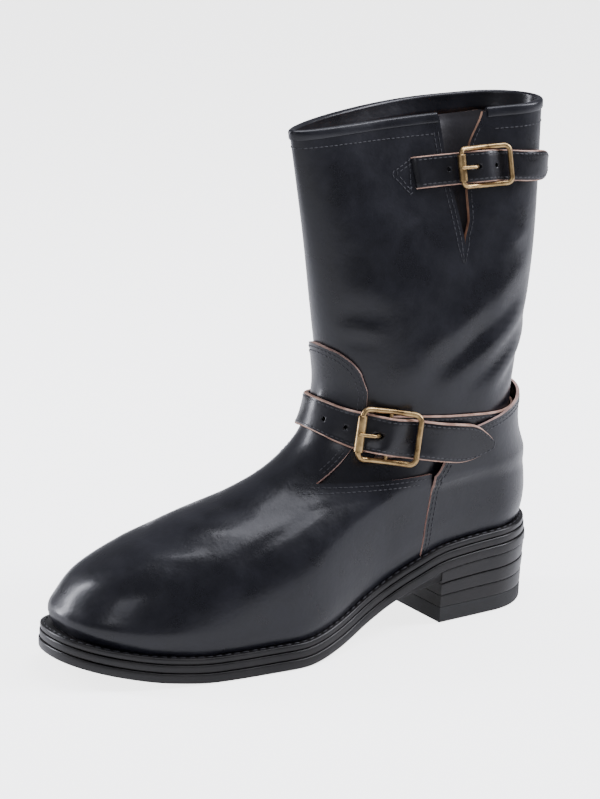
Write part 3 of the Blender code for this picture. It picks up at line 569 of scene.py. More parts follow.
def add_mesh(name, points, faces, materials, picks=None, sharp=35.0):
    """Piece from points and faces, turned outwards and shaded smooth up to an angle."""
    mesh = bpy.data.meshes.new(name)
    mesh.from_pydata([tuple(point) for point in points], [], faces)
    for material in materials:
        mesh.materials.append(material)
    if picks is not None:
        mesh.polygons.foreach_set("material_index", picks)
    work = bmesh.new()
    work.from_mesh(mesh)
    bmesh.ops.delete(work, geom=[vertex for vertex in work.verts if not vertex.link_faces], context="VERTS")
    bmesh.ops.remove_doubles(work, verts=work.verts, dist=MERGE_DISTANCE)
    bmesh.ops.recalc_face_normals(work, faces=work.faces)
    work.to_mesh(mesh)
    work.free()
    mesh.shade_smooth()
    mesh.set_sharp_from_angle(angle=radians(sharp))
    piece = bpy.data.objects.new(name, mesh)
    bpy.context.scene.collection.objects.link(piece)
    return piece


def hand_over(piece, slot, *nodes):
    """Fix a piece to the boot, in place of its nodes; its slot is not used."""
    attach(piece, "root")
    if nodes:
        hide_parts(*nodes)
    return piece


def grid_cells(index):
    """Corners of each cell of a grid of point numbers."""
    return np.stack((index[:-1, :-1], index[:-1, 1:], index[1:, 1:], index[1:, :-1]), axis=-1)


def add_wall(name, outer, inner, materials, index=None, keep=None):
    """Closed wall between two grids; materials are outside, cut edge and inside."""
    rows, columns = outer.shape[:2]
    if index is None:
        index = np.arange(rows * columns).reshape(rows, columns)
    cells = grid_cells(index)
    cells = cells[keep] if keep is not None else cells.reshape(-1, 4)
    pairs = np.concatenate([cells[:, (k, (k + 1) % 4)] for k in range(4)])
    _, first, uses = np.unique(np.sort(pairs, axis=1), axis=0, return_index=True, return_counts=True)
    rims = pairs[first[uses == 1]]
    size = rows * columns
    rim_faces = np.stack((rims[:, 0], rims[:, 1], size + rims[:, 1], size + rims[:, 0]), axis=-1)
    faces = np.concatenate((cells, size + cells, rim_faces)).tolist()
    picks = np.repeat((0, 2, 1), (len(cells), len(cells), len(rim_faces)))
    points = np.concatenate((outer.reshape(-1, 3), inner.reshape(-1, 3)))
    return add_mesh(name, points, faces, materials, picks)


def add_sweep(name, rings, materials, strip_picks=None, closed=False, sharp=35.0):
    """Closed body through rings of points, flat at its ends unless it closes on itself."""
    count, width = rings.shape[:2]
    index = np.arange(count * width).reshape(count, width)
    index = np.concatenate((index, index[:, :1]), axis=1)
    if closed:
        index = np.concatenate((index, index[:1]))
    cells = grid_cells(index)
    picks = np.zeros(cells.shape[:2], int)
    if strip_picks is not None:
        picks[:] = strip_picks
    faces = cells.reshape(-1, 4).tolist()
    picks = picks.reshape(-1).tolist()
    if not closed:
        faces += [list(range(width)), list(range((count - 1) * width, count * width))]
        picks += [len(materials) - 1] * 2
    return add_mesh(name, rings.reshape(-1, 3), faces, materials, picks, sharp)


def tube_rings(path, radius, sides, closed):
    """Round section along a path, with no twist between its rings."""
    path = np.asarray(path, float)
    if closed:
        ahead = unit(np.roll(path, -1, axis=0) - np.roll(path, 1, axis=0))
    else:
        ahead = unit(np.gradient(path, axis=0))
    side = unit(np.cross(ahead[0], (0.31, 0.17, 0.93)))
    angles = np.arange(sides) * 2 * pi / sides
    rings = []
    for point, way in zip(path, ahead):
        side = unit(side - way * (side @ way))
        other = np.cross(way, side)
        rings.append(point + radius * (np.cos(angles)[:, None] * side + np.sin(angles)[:, None] * other))
    return np.array(rings)


# Sole unit


def plan_ring(plan, inset, height, count=260):
    """Closed outline of a plan at a height that is a function of y."""
    _, y, reach = plan_point(plan, np.arange(count) / count, inset)
    return np.stack((read(FOOT_CURVE, y) + reach, y, height(y)), axis=-1)


def layer_rings(inset, floor, thick, bevel):
    """Rings of a sole layer from below, with rounded edges."""
    soft = bevel * BEVEL_MIDDLE
    profile = ((bevel, 0.0), (soft, soft), (0.0, bevel), (0.0, thick / 2),
               (0.0, thick - bevel), (soft, thick - soft), (bevel, thick))
    return np.array([plan_ring(SOLE_PLAN, inset + step, lambda y, rise=rise: floor(y) + rise)
                     for step, rise in profile])


def insole_floor(y):
    return welt_top(y) + SEAT_GAP


def heel_ring(height, inset, count=90):
    """Outline of the heel: the sole's back, closed by the straight breast."""
    back = SOLE_PLAN["back_y"] - inset
    reach = (back - HEEL_BREAST_Y) / (back - SOLE_PLAN["front_y"] - inset)
    limit = np.arccos(1 - 2 * reach) / (2 * pi)
    _, y, x = plan_point(SOLE_PLAN, limit * np.linspace(-1, 1, count), inset)
    x, y = read(FOOT_CURVE, y) + x, y
    breast = np.linspace(1, 0, 14)[1:-1]
    x = np.concatenate((x, x[0] + (x[-1] - x[0]) * breast))
    y = np.concatenate((y, np.full(len(breast), y[0])))
    return np.stack((x, y, height(y)), axis=-1)


def add_heel_layer(name, low, high, low_inset, high_inset, bevel, materials):
    """One lift, with the small groove that its rounded edges leave."""
    rings = []
    for share, round_off in LAYER_SIDE:
        inset = low_inset + (high_inset - low_inset) * share + bevel * round_off
        rings.append(heel_ring(lambda y, share=share: low(y) + (high(y) - low(y)) * share, inset))
    return add_sweep(name, np.array(rings), materials, sharp=50.0)


def lift_height(k):
    """Height of the floor of lift k, as a function of y."""
    def height(y):
        return TOP_PIECE + GAP + (outsole_floor(y) - 2 * GAP - TOP_PIECE) * k / HEEL_LIFTS
    return height


def build_layers(edge):
    """Outsole and midsole, from toe to heel."""
    for name, inset, floor, thick in (("outsole", 0.0, outsole_floor, OUTSOLE),
                                      ("midsole", MIDSOLE_INSET, midsole_floor, MIDSOLE)):
        rings = layer_rings(inset, floor, thick, SOLE_BEVEL)
        hand_over(add_sweep(name + "_look", rings, edge, sharp=SOLE_SHARP), "sole_edge", name)


def build_welt(edge):
    """Flat ring under the upper's foot, open in the middle."""
    rings = list(layer_rings(WELT_INSET, welt_floor, WELT, WELT_BEVEL))
    rings += [plan_ring(FEATHER_PLAN, WALL + WELT_UNDER_UPPER, height) for height in (welt_top, welt_floor)]
    welt = add_sweep("welt_look", np.array(rings), edge, closed=True, sharp=SOLE_SHARP)
    hand_over(welt, "sole_edge", "welt")


def build_insole(lining):
    """Footbed inside the upper, with the rib that fills the welt's middle."""
    rib, footbed = WALL + WELT_UNDER_UPPER + GAP, WALL + FOOTBED_EASE
    steps = ((rib, welt_floor), (rib, insole_floor), (footbed, insole_floor),
             (footbed, lambda y: insole_floor(y) + INSOLE))
    rings = [plan_ring(FEATHER_PLAN, inset, height) for inset, height in steps]
    hand_over(add_sweep("insole_look", np.array(rings), lining, sharp=50), "insole_leather", "insole")


def build_heel(edge, rubber):
    """Rubber top piece on the ground and the leather lifts on it."""
    top_piece = add_heel_layer("heel_top_piece_look", lambda y: 0 * y, lambda y: 0 * y + TOP_PIECE,
                               HEEL_TAPER, HEEL_TAPER - LIFT_STEP, TOP_PIECE_BEVEL, rubber)
    hand_over(top_piece, "heel_rubber", "heel_top_piece")
    for k in range(HEEL_LIFTS):
        name, roof = f"heel_lift_{k + 1}", lift_height(k + 1)
        high = roof if k == HEEL_LIFTS - 1 else (lambda y, roof=roof: roof(y) - GAP)
        low_inset = HEEL_TAPER * (1 - k / HEEL_LIFTS) + LIFT_STEP * (k - 1)
        high_inset = max(HEEL_TAPER * (1 - (k + 1) / HEEL_LIFTS), LIFT_STEP)
        lift = add_heel_layer(name + "_look", lift_height(k), high, low_inset, high_inset, LIFT_BEVEL, edge)
        hand_over(lift, "heel_stack", name)


# Upper


def slit_edge(level, column):
    """Place around of the slit's front (1) or rear (2) edge at these levels."""
    turn = np.full(np.shape(level), SLIT_TURN)
    rows = [(-row[0], row[column]) for row in SLIT]
    for _ in range(12):
        y = smooth(sorted(rows), skin(turn, level)[..., 2] - COLLAR_Z)
        turn = 0.5 * turn + 0.5 * around_at(level, y)
    return turn


def slit_foot():
    """Level where the two edges of the slit meet."""
    level = COLLAR - 3.0
    for _ in range(8):
        turn = around_at(level, SLIT[-1][1])
        level = level_at(turn, lambda y: COLLAR_Z - SLIT_FOOT_DEPTH)
    return float(level)


def build_shaft(looks, columns=230, low_rows=112, high_rows=44):
    """Hollow wall of the upper, open at the collar, underneath and along the slit."""
    foot = slit_foot()
    levels = np.concatenate((np.linspace(0, foot, low_rows), np.linspace(foot, COLLAR, high_rows)[1:]))
    front, rear = slit_edge(levels, 1), slit_edge(levels, 2)
    closed = levels <= foot + 1e-9
    front[closed] = rear[closed] = (front[closed] + rear[closed]) / 2
    share = np.linspace(0, 1, columns)
    share = share - COLUMN_GATHER * np.sin(2 * pi * share) / (2 * pi)
    turn = front[:, None] + (1 + rear - front)[:, None] * share
    level = np.broadcast_to(levels[:, None], turn.shape)
    rows, width = turn.shape
    index = np.arange(rows * width).reshape(rows, width)
    index[closed, -1] = index[closed, 0]
    outer = on_upper(turn, level)
    inner = on_upper(turn, level, -WALL)
    upper = add_wall("upper_look", outer, inner, [looks["shaft"], looks["raw_brown"], looks["lining"]], index)
    hand_over(upper, "shaft_leather", "upper")


def vamp_turn(across, level):
    """Place around for a share across the vamp: 1 at the shield's edge, 2 at the side seam."""
    edge = 0.5 - SHIELD_TURN
    rear = side_seam(level)
    size = np.abs(across)
    turn = np.where(size <= 1, 0.5 - SHIELD_TURN * size, edge + (rear - edge) * (size - 1))
    return np.where(across < 0, 1 - turn, turn)


def build_vamp(looks, wing=76, shield=23, low_rows=58, high_rows=46):
    """Foot part with the shield that runs up the front of the shaft."""
    half = np.concatenate((np.linspace(2, 1, wing), np.linspace(1, 0, shield)[1:]))
    across = np.concatenate((half, -half[-2::-1]))
    share = np.linspace(0, 1, low_rows)[:, None]
    level = np.full((low_rows, len(across)), 3.0)
    for _ in range(8):
        turn = vamp_turn(across, level)
        top = level_at(turn[-1:], lambda y: VAMP_WING_Z)
        level = VAMP_FOOT_LEVEL + (top - VAMP_FOOT_LEVEL) * share
    inside = np.abs(across) <= 1
    reach = np.where(inside, read(SHIELD_TOP, np.minimum(np.abs(across), 1.0)), VAMP_WING_Z + 0.001)
    peak = level_at(turn[-1], lambda y: reach)
    rise = np.linspace(0, 1, high_rows)[1:, None]
    turn = np.concatenate((turn, np.broadcast_to(turn[-1:], (high_rows - 1, len(across)))))
    level = np.concatenate((level, level[-1:] + (peak - level[-1:]) * rise))
    first = wing - 1
    keep = np.zeros((turn.shape[0] - 1, turn.shape[1] - 1), bool)
    keep[:low_rows - 1] = True
    keep[low_rows - 1:, first:len(across) - 1 - first] = True
    outer = on_upper(turn, level, OVERLAY_GAP + OVERLAY)
    inner = on_upper(turn, level, OVERLAY_GAP - OVERLAY_SINK)
    vamp = add_wall("vamp_look", outer, inner, [looks["shaft"], looks["raw_pink"], looks["shaft"]], keep=keep)
    hand_over(vamp, "shaft_leather", "vamp")


def counter_grid(columns=150, rows=62):
    """Places of the heel counter, from the feather line up to its rim."""
    share = np.sin(pi / 2 * np.linspace(-1, 1, columns))
    size = np.abs(share)
    limit = level_along(lambda level: size * side_seam(level, SEAM_GAP), lambda y: read(COUNTER_RIM, y))
    level = VAMP_FOOT_LEVEL + (limit - VAMP_FOOT_LEVEL) * np.linspace(0, 1, rows)[:, None]
    turn = size * side_seam(level, SEAM_GAP)
    return np.where(share < 0, 1 - turn, turn), level


def build_counter(looks):
    """Heel cover, standing off towards its rim so that the heel strap passes inside."""
    turn, level = counter_grid()
    lift = read(COUNTER_LIFT, skin(turn, level)[..., 2])
    outer = on_upper(turn, level, lift + OVERLAY)
    inner = on_upper(turn, level, lift)
    counter = add_wall("heel_counter_look", outer, inner, [looks["shaft"], looks["raw_pink"], looks["shaft"]])
    hand_over(counter, "shaft_leather", "heel_counter")


def stay_grid(offset):
    """Strip up the back seam; offset gives the rise for each share across."""
    share = np.linspace(-1, 1, 13)
    z = np.linspace(STAY_BOTTOM, COLLAR_Z - BINDING_DROP, 110)[:, None]
    level = level_at(np.zeros((len(z), 1)), lambda y: z)
    aside = 0.01
    per_turn = np.linalg.norm(skin(aside, level) - skin(-aside, level), axis=-1) / (2 * aside)
    return on_upper(STAY_HALF * share / per_turn, level, offset(share))


def build_back_stay(looks):
    """Narrow strip over the back seam, thinned towards its sides."""
    thinning, power = STAY_FEATHER
    outer = stay_grid(lambda share: OVERLAY_GAP + STAY_THICKNESS * (1 - thinning * np.abs(share) ** power))
    inner = stay_grid(lambda share: OVERLAY_GAP - STAY_SINK + 0 * share)
    stay = add_wall("back_stay_look", outer, inner, [looks["shaft"]] * 3)
    hand_over(stay, "shaft_leather", "back_stay")


def build_binding(looks):
    """Rolled bead over the collar with its facing inside; it breaks at the slit."""
    start = float(around_at(COLLAR, SLIT[0][1])) + BINDING_BREAK
    end = 1 + float(around_at(COLLAR, SLIT[0][2])) - BINDING_BREAK
    turn = np.linspace(start, end, 220)
    base = skin(turn, COLLAR)
    out = skin_normal(turn, COLLAR)
    up = unit(base - skin(turn, COLLAR - 0.05))
    middle, radius = -WALL / 2, WALL / 2 + BEAD_EXTRA
    profile = list(BINDING_SKIRT)
    for angle in np.radians(range(0, 181, 20)):
        profile.append((middle + radius * cos(angle), BEAD_RISE + radius * BEAD_FLAT * sin(angle)))
    profile += [(offset - WALL, height) for offset, height in BINDING_FACING]
    profile.append(BINDING_SEAT)
    rings = np.stack([base + out * offset + up * height for offset, height in profile], axis=1)
    binding = add_sweep("collar_binding_look", rings, [looks["shaft"]], sharp=60)
    hand_over(binding, "shaft_leather", "collar_binding")


def build_gusset(looks):
    """Soft leaf behind the slit, fixed to the front flap and free behind."""
    sink = np.linspace(0, 1, 60)[:, None]
    share = np.linspace(0, 1, 46)[None, :]
    front_y = GUSSET_FRONT_Y * (1 - sink) + GUSSET_FOOT_Y[0] * sink
    rear_y = GUSSET_REAR_Y * (1 - sink) + GUSSET_FOOT_Y[1] * sink
    y = front_y + (rear_y - front_y) * share
    rounded = np.maximum(0.0, (share - GUSSET_ROUND_FROM) / (1 - GUSSET_ROUND_FROM))
    z = COLLAR_Z + GUSSET_TOP - GUSSET_CORNER * rounded ** 2 * (1 - sink) - GUSSET_DEPTH * sink
    level = level_at(np.full(y.shape, 0.21), lambda _: np.minimum(z, COLLAR_Z - GUSSET_RIM))
    above = np.maximum(0.0, z - COLLAR_Z + GUSSET_RIM)
    turn = around_at(level, y)
    fold = GUSSET_FOLD * np.sin(pi * share ** 0.8) ** 1.3 * (1 - sink) ** 1.2
    ripple = GUSSET_RIPPLE * np.sin(7 * share + 3 * sink) * np.sin(pi * share)
    depth = -(GUSSET_SEAT + fold) + ripple
    rise = above[..., None] * np.array((0.0, 0.0, 1.0))
    outer = on_upper(turn, level, depth) + rise
    inner = on_upper(turn, level, depth - GUSSET_THICKNESS) + rise
    leaf = add_wall("gusset_look", outer, inner, [looks["gusset"], looks["raw_pink"], looks["suede"]])
    hand_over(leaf, "gusset_suede", "gusset")


# Straps and buckles

# Section of a strap: share across, share of its thickness; the cut edges are the steep strips
STRAP_SECTION = (
    (-1.0, 0.10), (-1.0, 0.66), (-0.975, 0.90), (-0.93, 1.0), (-0.60, 1.03), (-0.20, 1.04), (0.20, 1.04),
    (0.60, 1.03), (0.93, 1.0), (0.975, 0.90), (1.0, 0.66), (1.0, 0.10), (0.97, 0.0), (0.30, 0.0),
    (-0.30, 0.0), (-0.97, 0.0),
)
RAW_STRIPS = (0, 1, 2, 8, 9, 10)


def strap_places(row, share, across):
    """Places on the upper under a strap, for shares along it and across it."""
    start, end = row["span"]
    turn = start + (end - start) * np.asarray(share, float)
    middle_level = level_at(turn, lambda y: read(row["centre"], y))
    half = np.full(turn.shape, row["half"])
    if row["point"]:
        first_level = level_at(np.asarray(start), lambda y: read(row["centre"], y))
        gap = np.linalg.norm(skin(turn, middle_level) - skin(start, first_level), axis=-1)
        left = 1 - np.minimum(gap / row["point"], 1.0)
        half = row["half"] * (1 - POINT_NARROWING * left ** POINT_POWER)
    shift = half[..., None] * np.asarray(across, float)
    turn = np.broadcast_to(turn[..., None], shift.shape)
    return turn, level_at(turn, lambda y: read(row["centre"], y) + shift)


def strap_shares(row, columns):
    """Shares along a strap, closer together at a rounded point."""
    share = np.linspace(0, 1, columns)
    return 1 - np.cos(pi * share / 2) if row["point"] else share


def build_strap(node, row, columns, looks, place=None, buckle=None, sink=0.0):
    """Leather strap laid over the upper, with cut edges and a prong hole where a buckle sits."""
    share = strap_shares(row, columns)
    across = np.array([spot[0] for spot in STRAP_SECTION])
    height = np.array([spot[1] for spot in STRAP_SECTION])
    turn, level = strap_places(row, share, across)
    lift = read(row["lift"], turn)
    lift = lift - sink * np.clip((share[:, None] - SINK_FROM) / (1 - SINK_FROM), 0, 1) ** 2
    rings = on_upper(turn, level, lift + height * row["thickness"])
    picks = np.array([1 if k in RAW_STRIPS else 0 for k in range(len(STRAP_SECTION))])
    strap = add_sweep(node + "_look", rings, [looks["strap"], looks["raw_tan"]], picks)
    if buckle:
        length, width = buckle["hole"][2] / 2, buckle["hole"][1] / 2
        cut_hole(strap, place @ Matrix.Translation((buckle["hole"][0], 0, 0)), length, width)
        for distance in buckle["spare_holes"]:
            cut_hole(strap, strap_place(row, place, distance), SPARE_HOLE, SPARE_HOLE)
    return hand_over(strap, "strap_leather", node)


def strap_place(row, place, distance):
    """Local axes on a strap at a distance from its buckle, counted to the front."""
    share = np.linspace(0, 1, 400)
    turn, level = strap_places(row, share, 0.0)
    line = on_upper(turn, level, read(row["lift"], turn))[:, 0]
    run = np.concatenate(((0.0,), np.cumsum(np.linalg.norm(np.diff(line, axis=0), axis=1))))
    start = np.linalg.norm(line - np.array(place.translation), axis=1).argmin()
    spot = np.searchsorted(run, run[start] + distance)
    out, along = skin_normal(turn[spot], level[spot])[0], unit(line[spot - 1] - line[spot + 1])
    axes = Matrix((along, np.cross(out, along), out)).transposed().to_4x4()
    axes.translation = line[spot]
    return axes


def cut_hole(strap, place, half_long, half_wide, sides=20):
    """Punch an oval hole straight through a strap."""
    turns = [2 * pi * k / sides for k in range(sides)]
    points = [place @ Vector((half_long * cos(turn), half_wide * sin(turn), z))
              for z in (-PUNCH_REACH, PUNCH_REACH) for turn in turns]
    faces = [(k, (k + 1) % sides, sides + (k + 1) % sides, sides + k) for k in range(sides)]
    faces += [tuple(range(sides)), tuple(range(sides, 2 * sides))]
    punch = add_mesh("punch", points, faces, [strap.data.materials[0]])
    step = strap.modifiers.new("hole", "BOOLEAN")
    step.object = punch
    step.solver = "EXACT"
    apply_modifiers(strap)
    bpy.data.objects.remove(punch, do_unlink=True)


def apply_modifiers(piece):
    """Turn a piece with its modifiers into a plain mesh."""
    bpy.context.view_layer.update()
    ready = piece.evaluated_get(bpy.context.evaluated_depsgraph_get())
    mesh = bpy.data.meshes.new_from_object(ready)
    piece.modifiers.clear()
    piece.data = mesh


def buckle_place(row, buckle):
    """Local axes of a buckle: along the strap to the rear, across it upwards, and out of the leg."""
    level = level_at(np.asarray(OUTER_TURN), lambda y: read(row["centre"], buckle["y"]))
    for _ in range(4):
        turn = around_at(level, buckle["y"])
        level = level_at(turn, lambda y: read(row["centre"], y))
    point, out = skin(turn, level), skin_normal(turn, level)
    ahead = skin(turn - 0.01, level_at(turn - 0.01, lambda y: read(row["centre"], y))) - point
    along = unit(ahead - out * (ahead @ out))
    place = Matrix((along, np.cross(out, along), out)).transposed().to_4x4()
    place.translation = point + out * buckle["lift"]
    return place


def placed(place, points):
    """Points moved from a buckle's own axes onto the boot."""
    return np.array([place @ Vector(point) for point in points])


def frame_outline(half_long, half_tall, corner):
    """Rounded rectangle of a buckle's frame, with more points along its long sides."""
    path = []
    for quarter in range(4):
        sign_x = 1 if quarter in (0, 3) else -1
        sign_y = 1 if quarter in (0, 1) else -1
        for angle in np.radians(np.linspace(0, 90, 9)) + quarter * pi / 2:
            path.append((sign_x * (half_long - corner) + corner * cos(angle),
                         sign_y * (half_tall - corner) + corner * sin(angle)))
        if quarter in (0, 2):
            path += [(sign_x * (half_long - corner) * share, sign_y * half_tall)
                     for share in np.linspace(0.8, -0.8, 11)]
    return path


def build_frame(name, node, size, place, brass):
    """Arched wire frame with the bar that the strap is sewn to."""
    half_long, half_tall = size["length"] / 2 - size["wire"], size["height"] / 2 - size["wire"]
    outline = frame_outline(half_long, half_tall, size["corner"])
    arch = [(x, y, -size["arch"] * (1 - (x / half_long) ** 2)) for x, y in outline]
    rings = tube_rings(placed(place, arch), size["wire"], 16, True)
    hoop = add_sweep(name + "_look", rings, brass, closed=True, sharp=80)
    bar = [(0.0, y, -size["arch"]) for y in np.linspace(-half_tall, half_tall, 5)]
    join(hoop, add_sweep(name + "_bar", tube_rings(placed(place, bar), size["bar"], 14, False), brass))
    hand_over(hoop, "buckle_brass", node)


def build_roller(name, node, size, place, brass):
    """Sleeve that turns on the frame's front bar."""
    half_long, reach = size["length"] / 2 - size["wire"], size["height"] / 2 - size["wire"] - size["corner"]
    inner, outer, soft = size["wire"] + GAP, size["roller"], ROLLER_ROUND
    outline = ((-reach, inner), (-reach, outer - soft), (-reach + soft, outer),
               (reach - soft, outer), (reach, outer - soft), (reach, inner))
    angles = np.arange(28) * 2 * pi / 28
    rings = [placed(place, [(-half_long + r * cos(a), y, r * sin(a)) for y, r in outline]) for a in angles]
    roller = add_sweep(name + "_look", np.array(rings), brass, closed=True, sharp=40)
    hand_over(roller, "buckle_brass", node)


def build_prong(name, node, size, place, brass):
    """Tapered prong from the middle bar through the strap and over the roller."""
    half_long, (over, past, droop) = size["length"] / 2 - size["wire"], PRONG_TIP
    top = size["roller"] + size["prong"] + GAP
    knots = [(x, 0.0, z) for x, z in size["prong_path"]]
    knots += [(over - half_long, 0.0, top), (-half_long, 0.0, top), (-half_long - past, 0.0, top - droop)]
    route = through(placed(place, knots), 8)
    rings = tube_rings(route, size["prong"], 14, False)
    taper = np.interp(np.linspace(0, 1, len(route)), *PRONG_TAPER)[:, None, None]
    prong = add_sweep(name + "_look", route[:, None] + (rings - route[:, None]) * taper, brass, sharp=60)
    hand_over(prong, "buckle_brass", node)


def build_buckle(prefix, size, place, looks):
    """Bar buckle: arched frame with a middle bar, a roller on its front bar, and a prong."""
    for part, build in (("frame", build_frame), ("roller", build_roller), ("prong", build_prong)):
        node = f"{prefix}_buckle_{part}"
        build(node, node, size, place, [looks["brass"]])


def through(knots, parts):
    """Smooth path through a few points."""
    ends = np.concatenate((knots[:1], knots, knots[-1:]))
    path = []
    for a, b, c, d in zip(ends, ends[1:], ends[2:], ends[3:]):
        for t in np.arange(parts) / parts:
            path.append(0.5 * (2 * b + (c - a) * t + (2 * a - 5 * b + 4 * c - d) * t * t
                               + (3 * b - a - 3 * c + d) * t ** 3))
    return np.array(path + [knots[-1]])


def join(piece, other):
    """Put the other piece's mesh into the first."""
    work = bmesh.new()
    work.from_mesh(piece.data)
    work.from_mesh(other.data)
    work.to_mesh(piece.data)
    work.free()
    bpy.data.objects.remove(other, do_unlink=True)


# Stitches


# Node group of the stitch rows: its sockets, its nodes, and the links from output to input
STITCH_SOCKETS = (
    ("Lines", "INPUT", "NodeSocketGeometry"),
    ("Step", "INPUT", "NodeSocketFloat"),
    ("Size", "INPUT", "NodeSocketVector"),
    ("Thread", "INPUT", "NodeSocketMaterial"),
    ("Stitches", "OUTPUT", "NodeSocketGeometry"),
)
STITCH_NODES = {
    "given": "NodeGroupInput",
    "curve": "GeometryNodeMeshToCurve",
    "steps": "GeometryNodeResampleCurve",
    "tangent": "GeometryNodeInputTangent",
    "along": "FunctionNodeAlignRotationToVector",
    "out": "GeometryNodeInputNamedAttribute",
    "upright": "FunctionNodeAlignRotationToVector",
    "ball": "GeometryNodeMeshUVSphere",
    "turned": "GeometryNodeTransform",
    "sized": "GeometryNodeTransform",
    "scatter": "GeometryNodeInstanceOnPoints",
    "plain": "GeometryNodeRealizeInstances",
    "thread": "GeometryNodeSetMaterial",
    "result": "NodeGroupOutput",
}
STITCH_LINKS = (
    ("given", "Lines", "curve", 0),
    ("curve", 0, "steps", "Curve"),
    ("given", "Step", "steps", "Length"),
    ("tangent", 0, "along", "Vector"),
    ("along", 0, "upright", "Rotation"),
    ("out", "Attribute", "upright", "Vector"),
    ("ball", "Mesh", "turned", "Geometry"),
    ("turned", 0, "sized", "Geometry"),
    ("given", "Size", "sized", "Scale"),
    ("steps", 0, "scatter", "Points"),
    ("sized", 0, "scatter", "Instance"),
    ("upright", 0, "scatter", "Rotation"),
    ("scatter", 0, "plain", 0),
    ("plain", 0, "thread", "Geometry"),
    ("given", "Thread", "thread", "Material"),
    ("thread", 0, "result", "Stitches"),
)


def stitch_group():
    """Node group that lays a rounded stitch at even steps along lines on the leather."""
    tree = bpy.data.node_groups.new("stitch_rows", "GeometryNodeTree")
    for label, way, kind in STITCH_SOCKETS:
        tree.interface.new_socket(label, in_out=way, socket_type=kind)
    nodes = {name: tree.nodes.new(kind) for name, kind in STITCH_NODES.items()}
    nodes["steps"].mode = "LENGTH"
    nodes["out"].data_type = "FLOAT_VECTOR"
    nodes["out"].inputs["Name"].default_value = "out"
    nodes["along"].axis = "X"
    nodes["upright"].axis = "Z"
    nodes["upright"].pivot_axis = "X"
    for label, value in (("Segments", 8), ("Rings", 6), ("Radius", 0.5)):
        nodes["ball"].inputs[label].default_value = value
    nodes["turned"].inputs["Rotation"].default_value = (0, pi / 2, 0)
    for source, start, target, end in STITCH_LINKS:
        tree.links.new(nodes[source].outputs[start], nodes[target].inputs[end])
    return tree


def add_stitches(name, lines, step, size, material, slot):
    """Rows of stitches along lines, each a pair of arrays: points and the way out of the leather."""
    points = np.concatenate([line[0] for line in lines])
    outs = np.concatenate([line[1] for line in lines])
    edges, start = [], 0
    for line, _ in lines:
        edges += [(start + k, start + k + 1) for k in range(len(line) - 1)]
        start += len(line)
    mesh = bpy.data.meshes.new(name)
    mesh.from_pydata(points.tolist(), edges, [])
    mesh.attributes.new("out", "FLOAT_VECTOR", "POINT").data.foreach_set("vector", outs.ravel())
    piece = bpy.data.objects.new(name, mesh)
    bpy.context.scene.collection.objects.link(piece)
    rows = piece.modifiers.new("rows", "NODES")
    group = bpy.data.node_groups.get("stitch_rows") or stitch_group()
    rows.node_group = group
    names = {item.name: item.identifier for item in group.interface.items_tree if item.in_out == "INPUT"}
    rows[names["Step"]] = step
    rows[names["Size"]] = size
    rows[names["Thread"]] = material
    apply_modifiers(piece)
    if not piece.data.polygons:
        raise RuntimeError(f"{name} has no stitches")
    piece.data.shade_smooth()
    return hand_over(piece, slot)


def line_on(turn, level, offset):
    """Points and ways out of the leather along a line, for the stitches."""
    turn, level = np.broadcast_arrays(turn, level)
    return on_upper(turn, level, offset), skin_normal(turn, level)


def level_line(turn, z, offset):
    """Line round the upper at a height."""
    turn = np.asarray(turn, float)
    return line_on(turn, level_at(turn, lambda y: np.broadcast_to(z, turn.shape)), offset)


def y_line(y, z, offset):
    """Line on the outer side through given y and heights."""
    y, z = np.broadcast_arrays(np.asarray(y, float), np.asarray(z, float))
    turn = np.full(y.shape, OUTER_TURN)
    for _ in range(10):
        level = level_at(turn, lambda _: z)
        turn = 0.5 * turn + 0.5 * around_at(level, y)
    return line_on(turn, level, offset)


def dense(knots, parts=12):
    """Straight runs between corner points, cut finely."""
    rows = []
    for a, b in zip(knots, knots[1:]):
        rows += [np.asarray(a) + (np.asarray(b) - np.asarray(a)) * t for t in np.arange(parts) / parts]
    return np.array(rows + [np.asarray(knots[-1])])


def shaft_lines(thread):
    """Rows on the shaft: collar, both slit edges and the arrowhead that holds the top strap."""
    start = float(around_at(COLLAR, SLIT[0][1])) + COLLAR_ROW_ENDS
    end = 1 + float(around_at(COLLAR, SLIT[0][2])) - COLLAR_ROW_ENDS
    lines = [level_line(np.linspace(start, end, 240), COLLAR_Z - COLLAR_ROW, thread)]
    rows = sorted((-depth, front, rear) for depth, front, rear in SLIT)
    drop = np.linspace(-SLIT_ROWS_FROM, -SLIT_FOOT_DEPTH, 40)
    z = np.append(drop + COLLAR_Z, COLLAR_Z - SLIT_APEX[1])
    for inset in SLIT_FRONT_ROWS:
        y = smooth([(row[0], row[1]) for row in rows], drop) - inset
        lines.append(y_line(np.append(y, SLIT_APEX[0] - inset * 0.3), z, thread))
    y = smooth([(row[0], row[2]) for row in rows], drop) + SLIT_REAR_ROW
    lines.append(y_line(np.append(y, SLIT_APEX[0] + 0.0004), z, thread))
    high, point, low = ARROWHEAD
    for shrink in ARROWHEAD_ROWS:
        first = (high[0], high[1] - shrink)
        knots = dense((first, (point[0] + 1.5 * shrink, point[1]), (low[0], low[1] + shrink), first))
        lines.append(y_line(knots[:, 0], knots[:, 1], thread))
    return lines


def shield_edge():
    """Places along the shield's edge, up one side, over its top and down the other."""
    edge = 0.5 - SHIELD_TURN
    side_z = np.linspace(VAMP_WING_Z + 0.004, SHIELD_TOP[-1][1], 30)
    across = np.concatenate((np.linspace(1, 0, 60), np.linspace(0, 1, 60)[1:]))[1:-1]
    way = np.where(np.arange(117) < 59, -1, 1)
    turn = np.concatenate((np.full(30, edge), 0.5 + way * SHIELD_TURN * across, np.full(30, 1 - edge)))
    z = np.concatenate((side_z, read(SHIELD_TOP, across), side_z[::-1]))
    return turn, level_at(turn, lambda y: z)


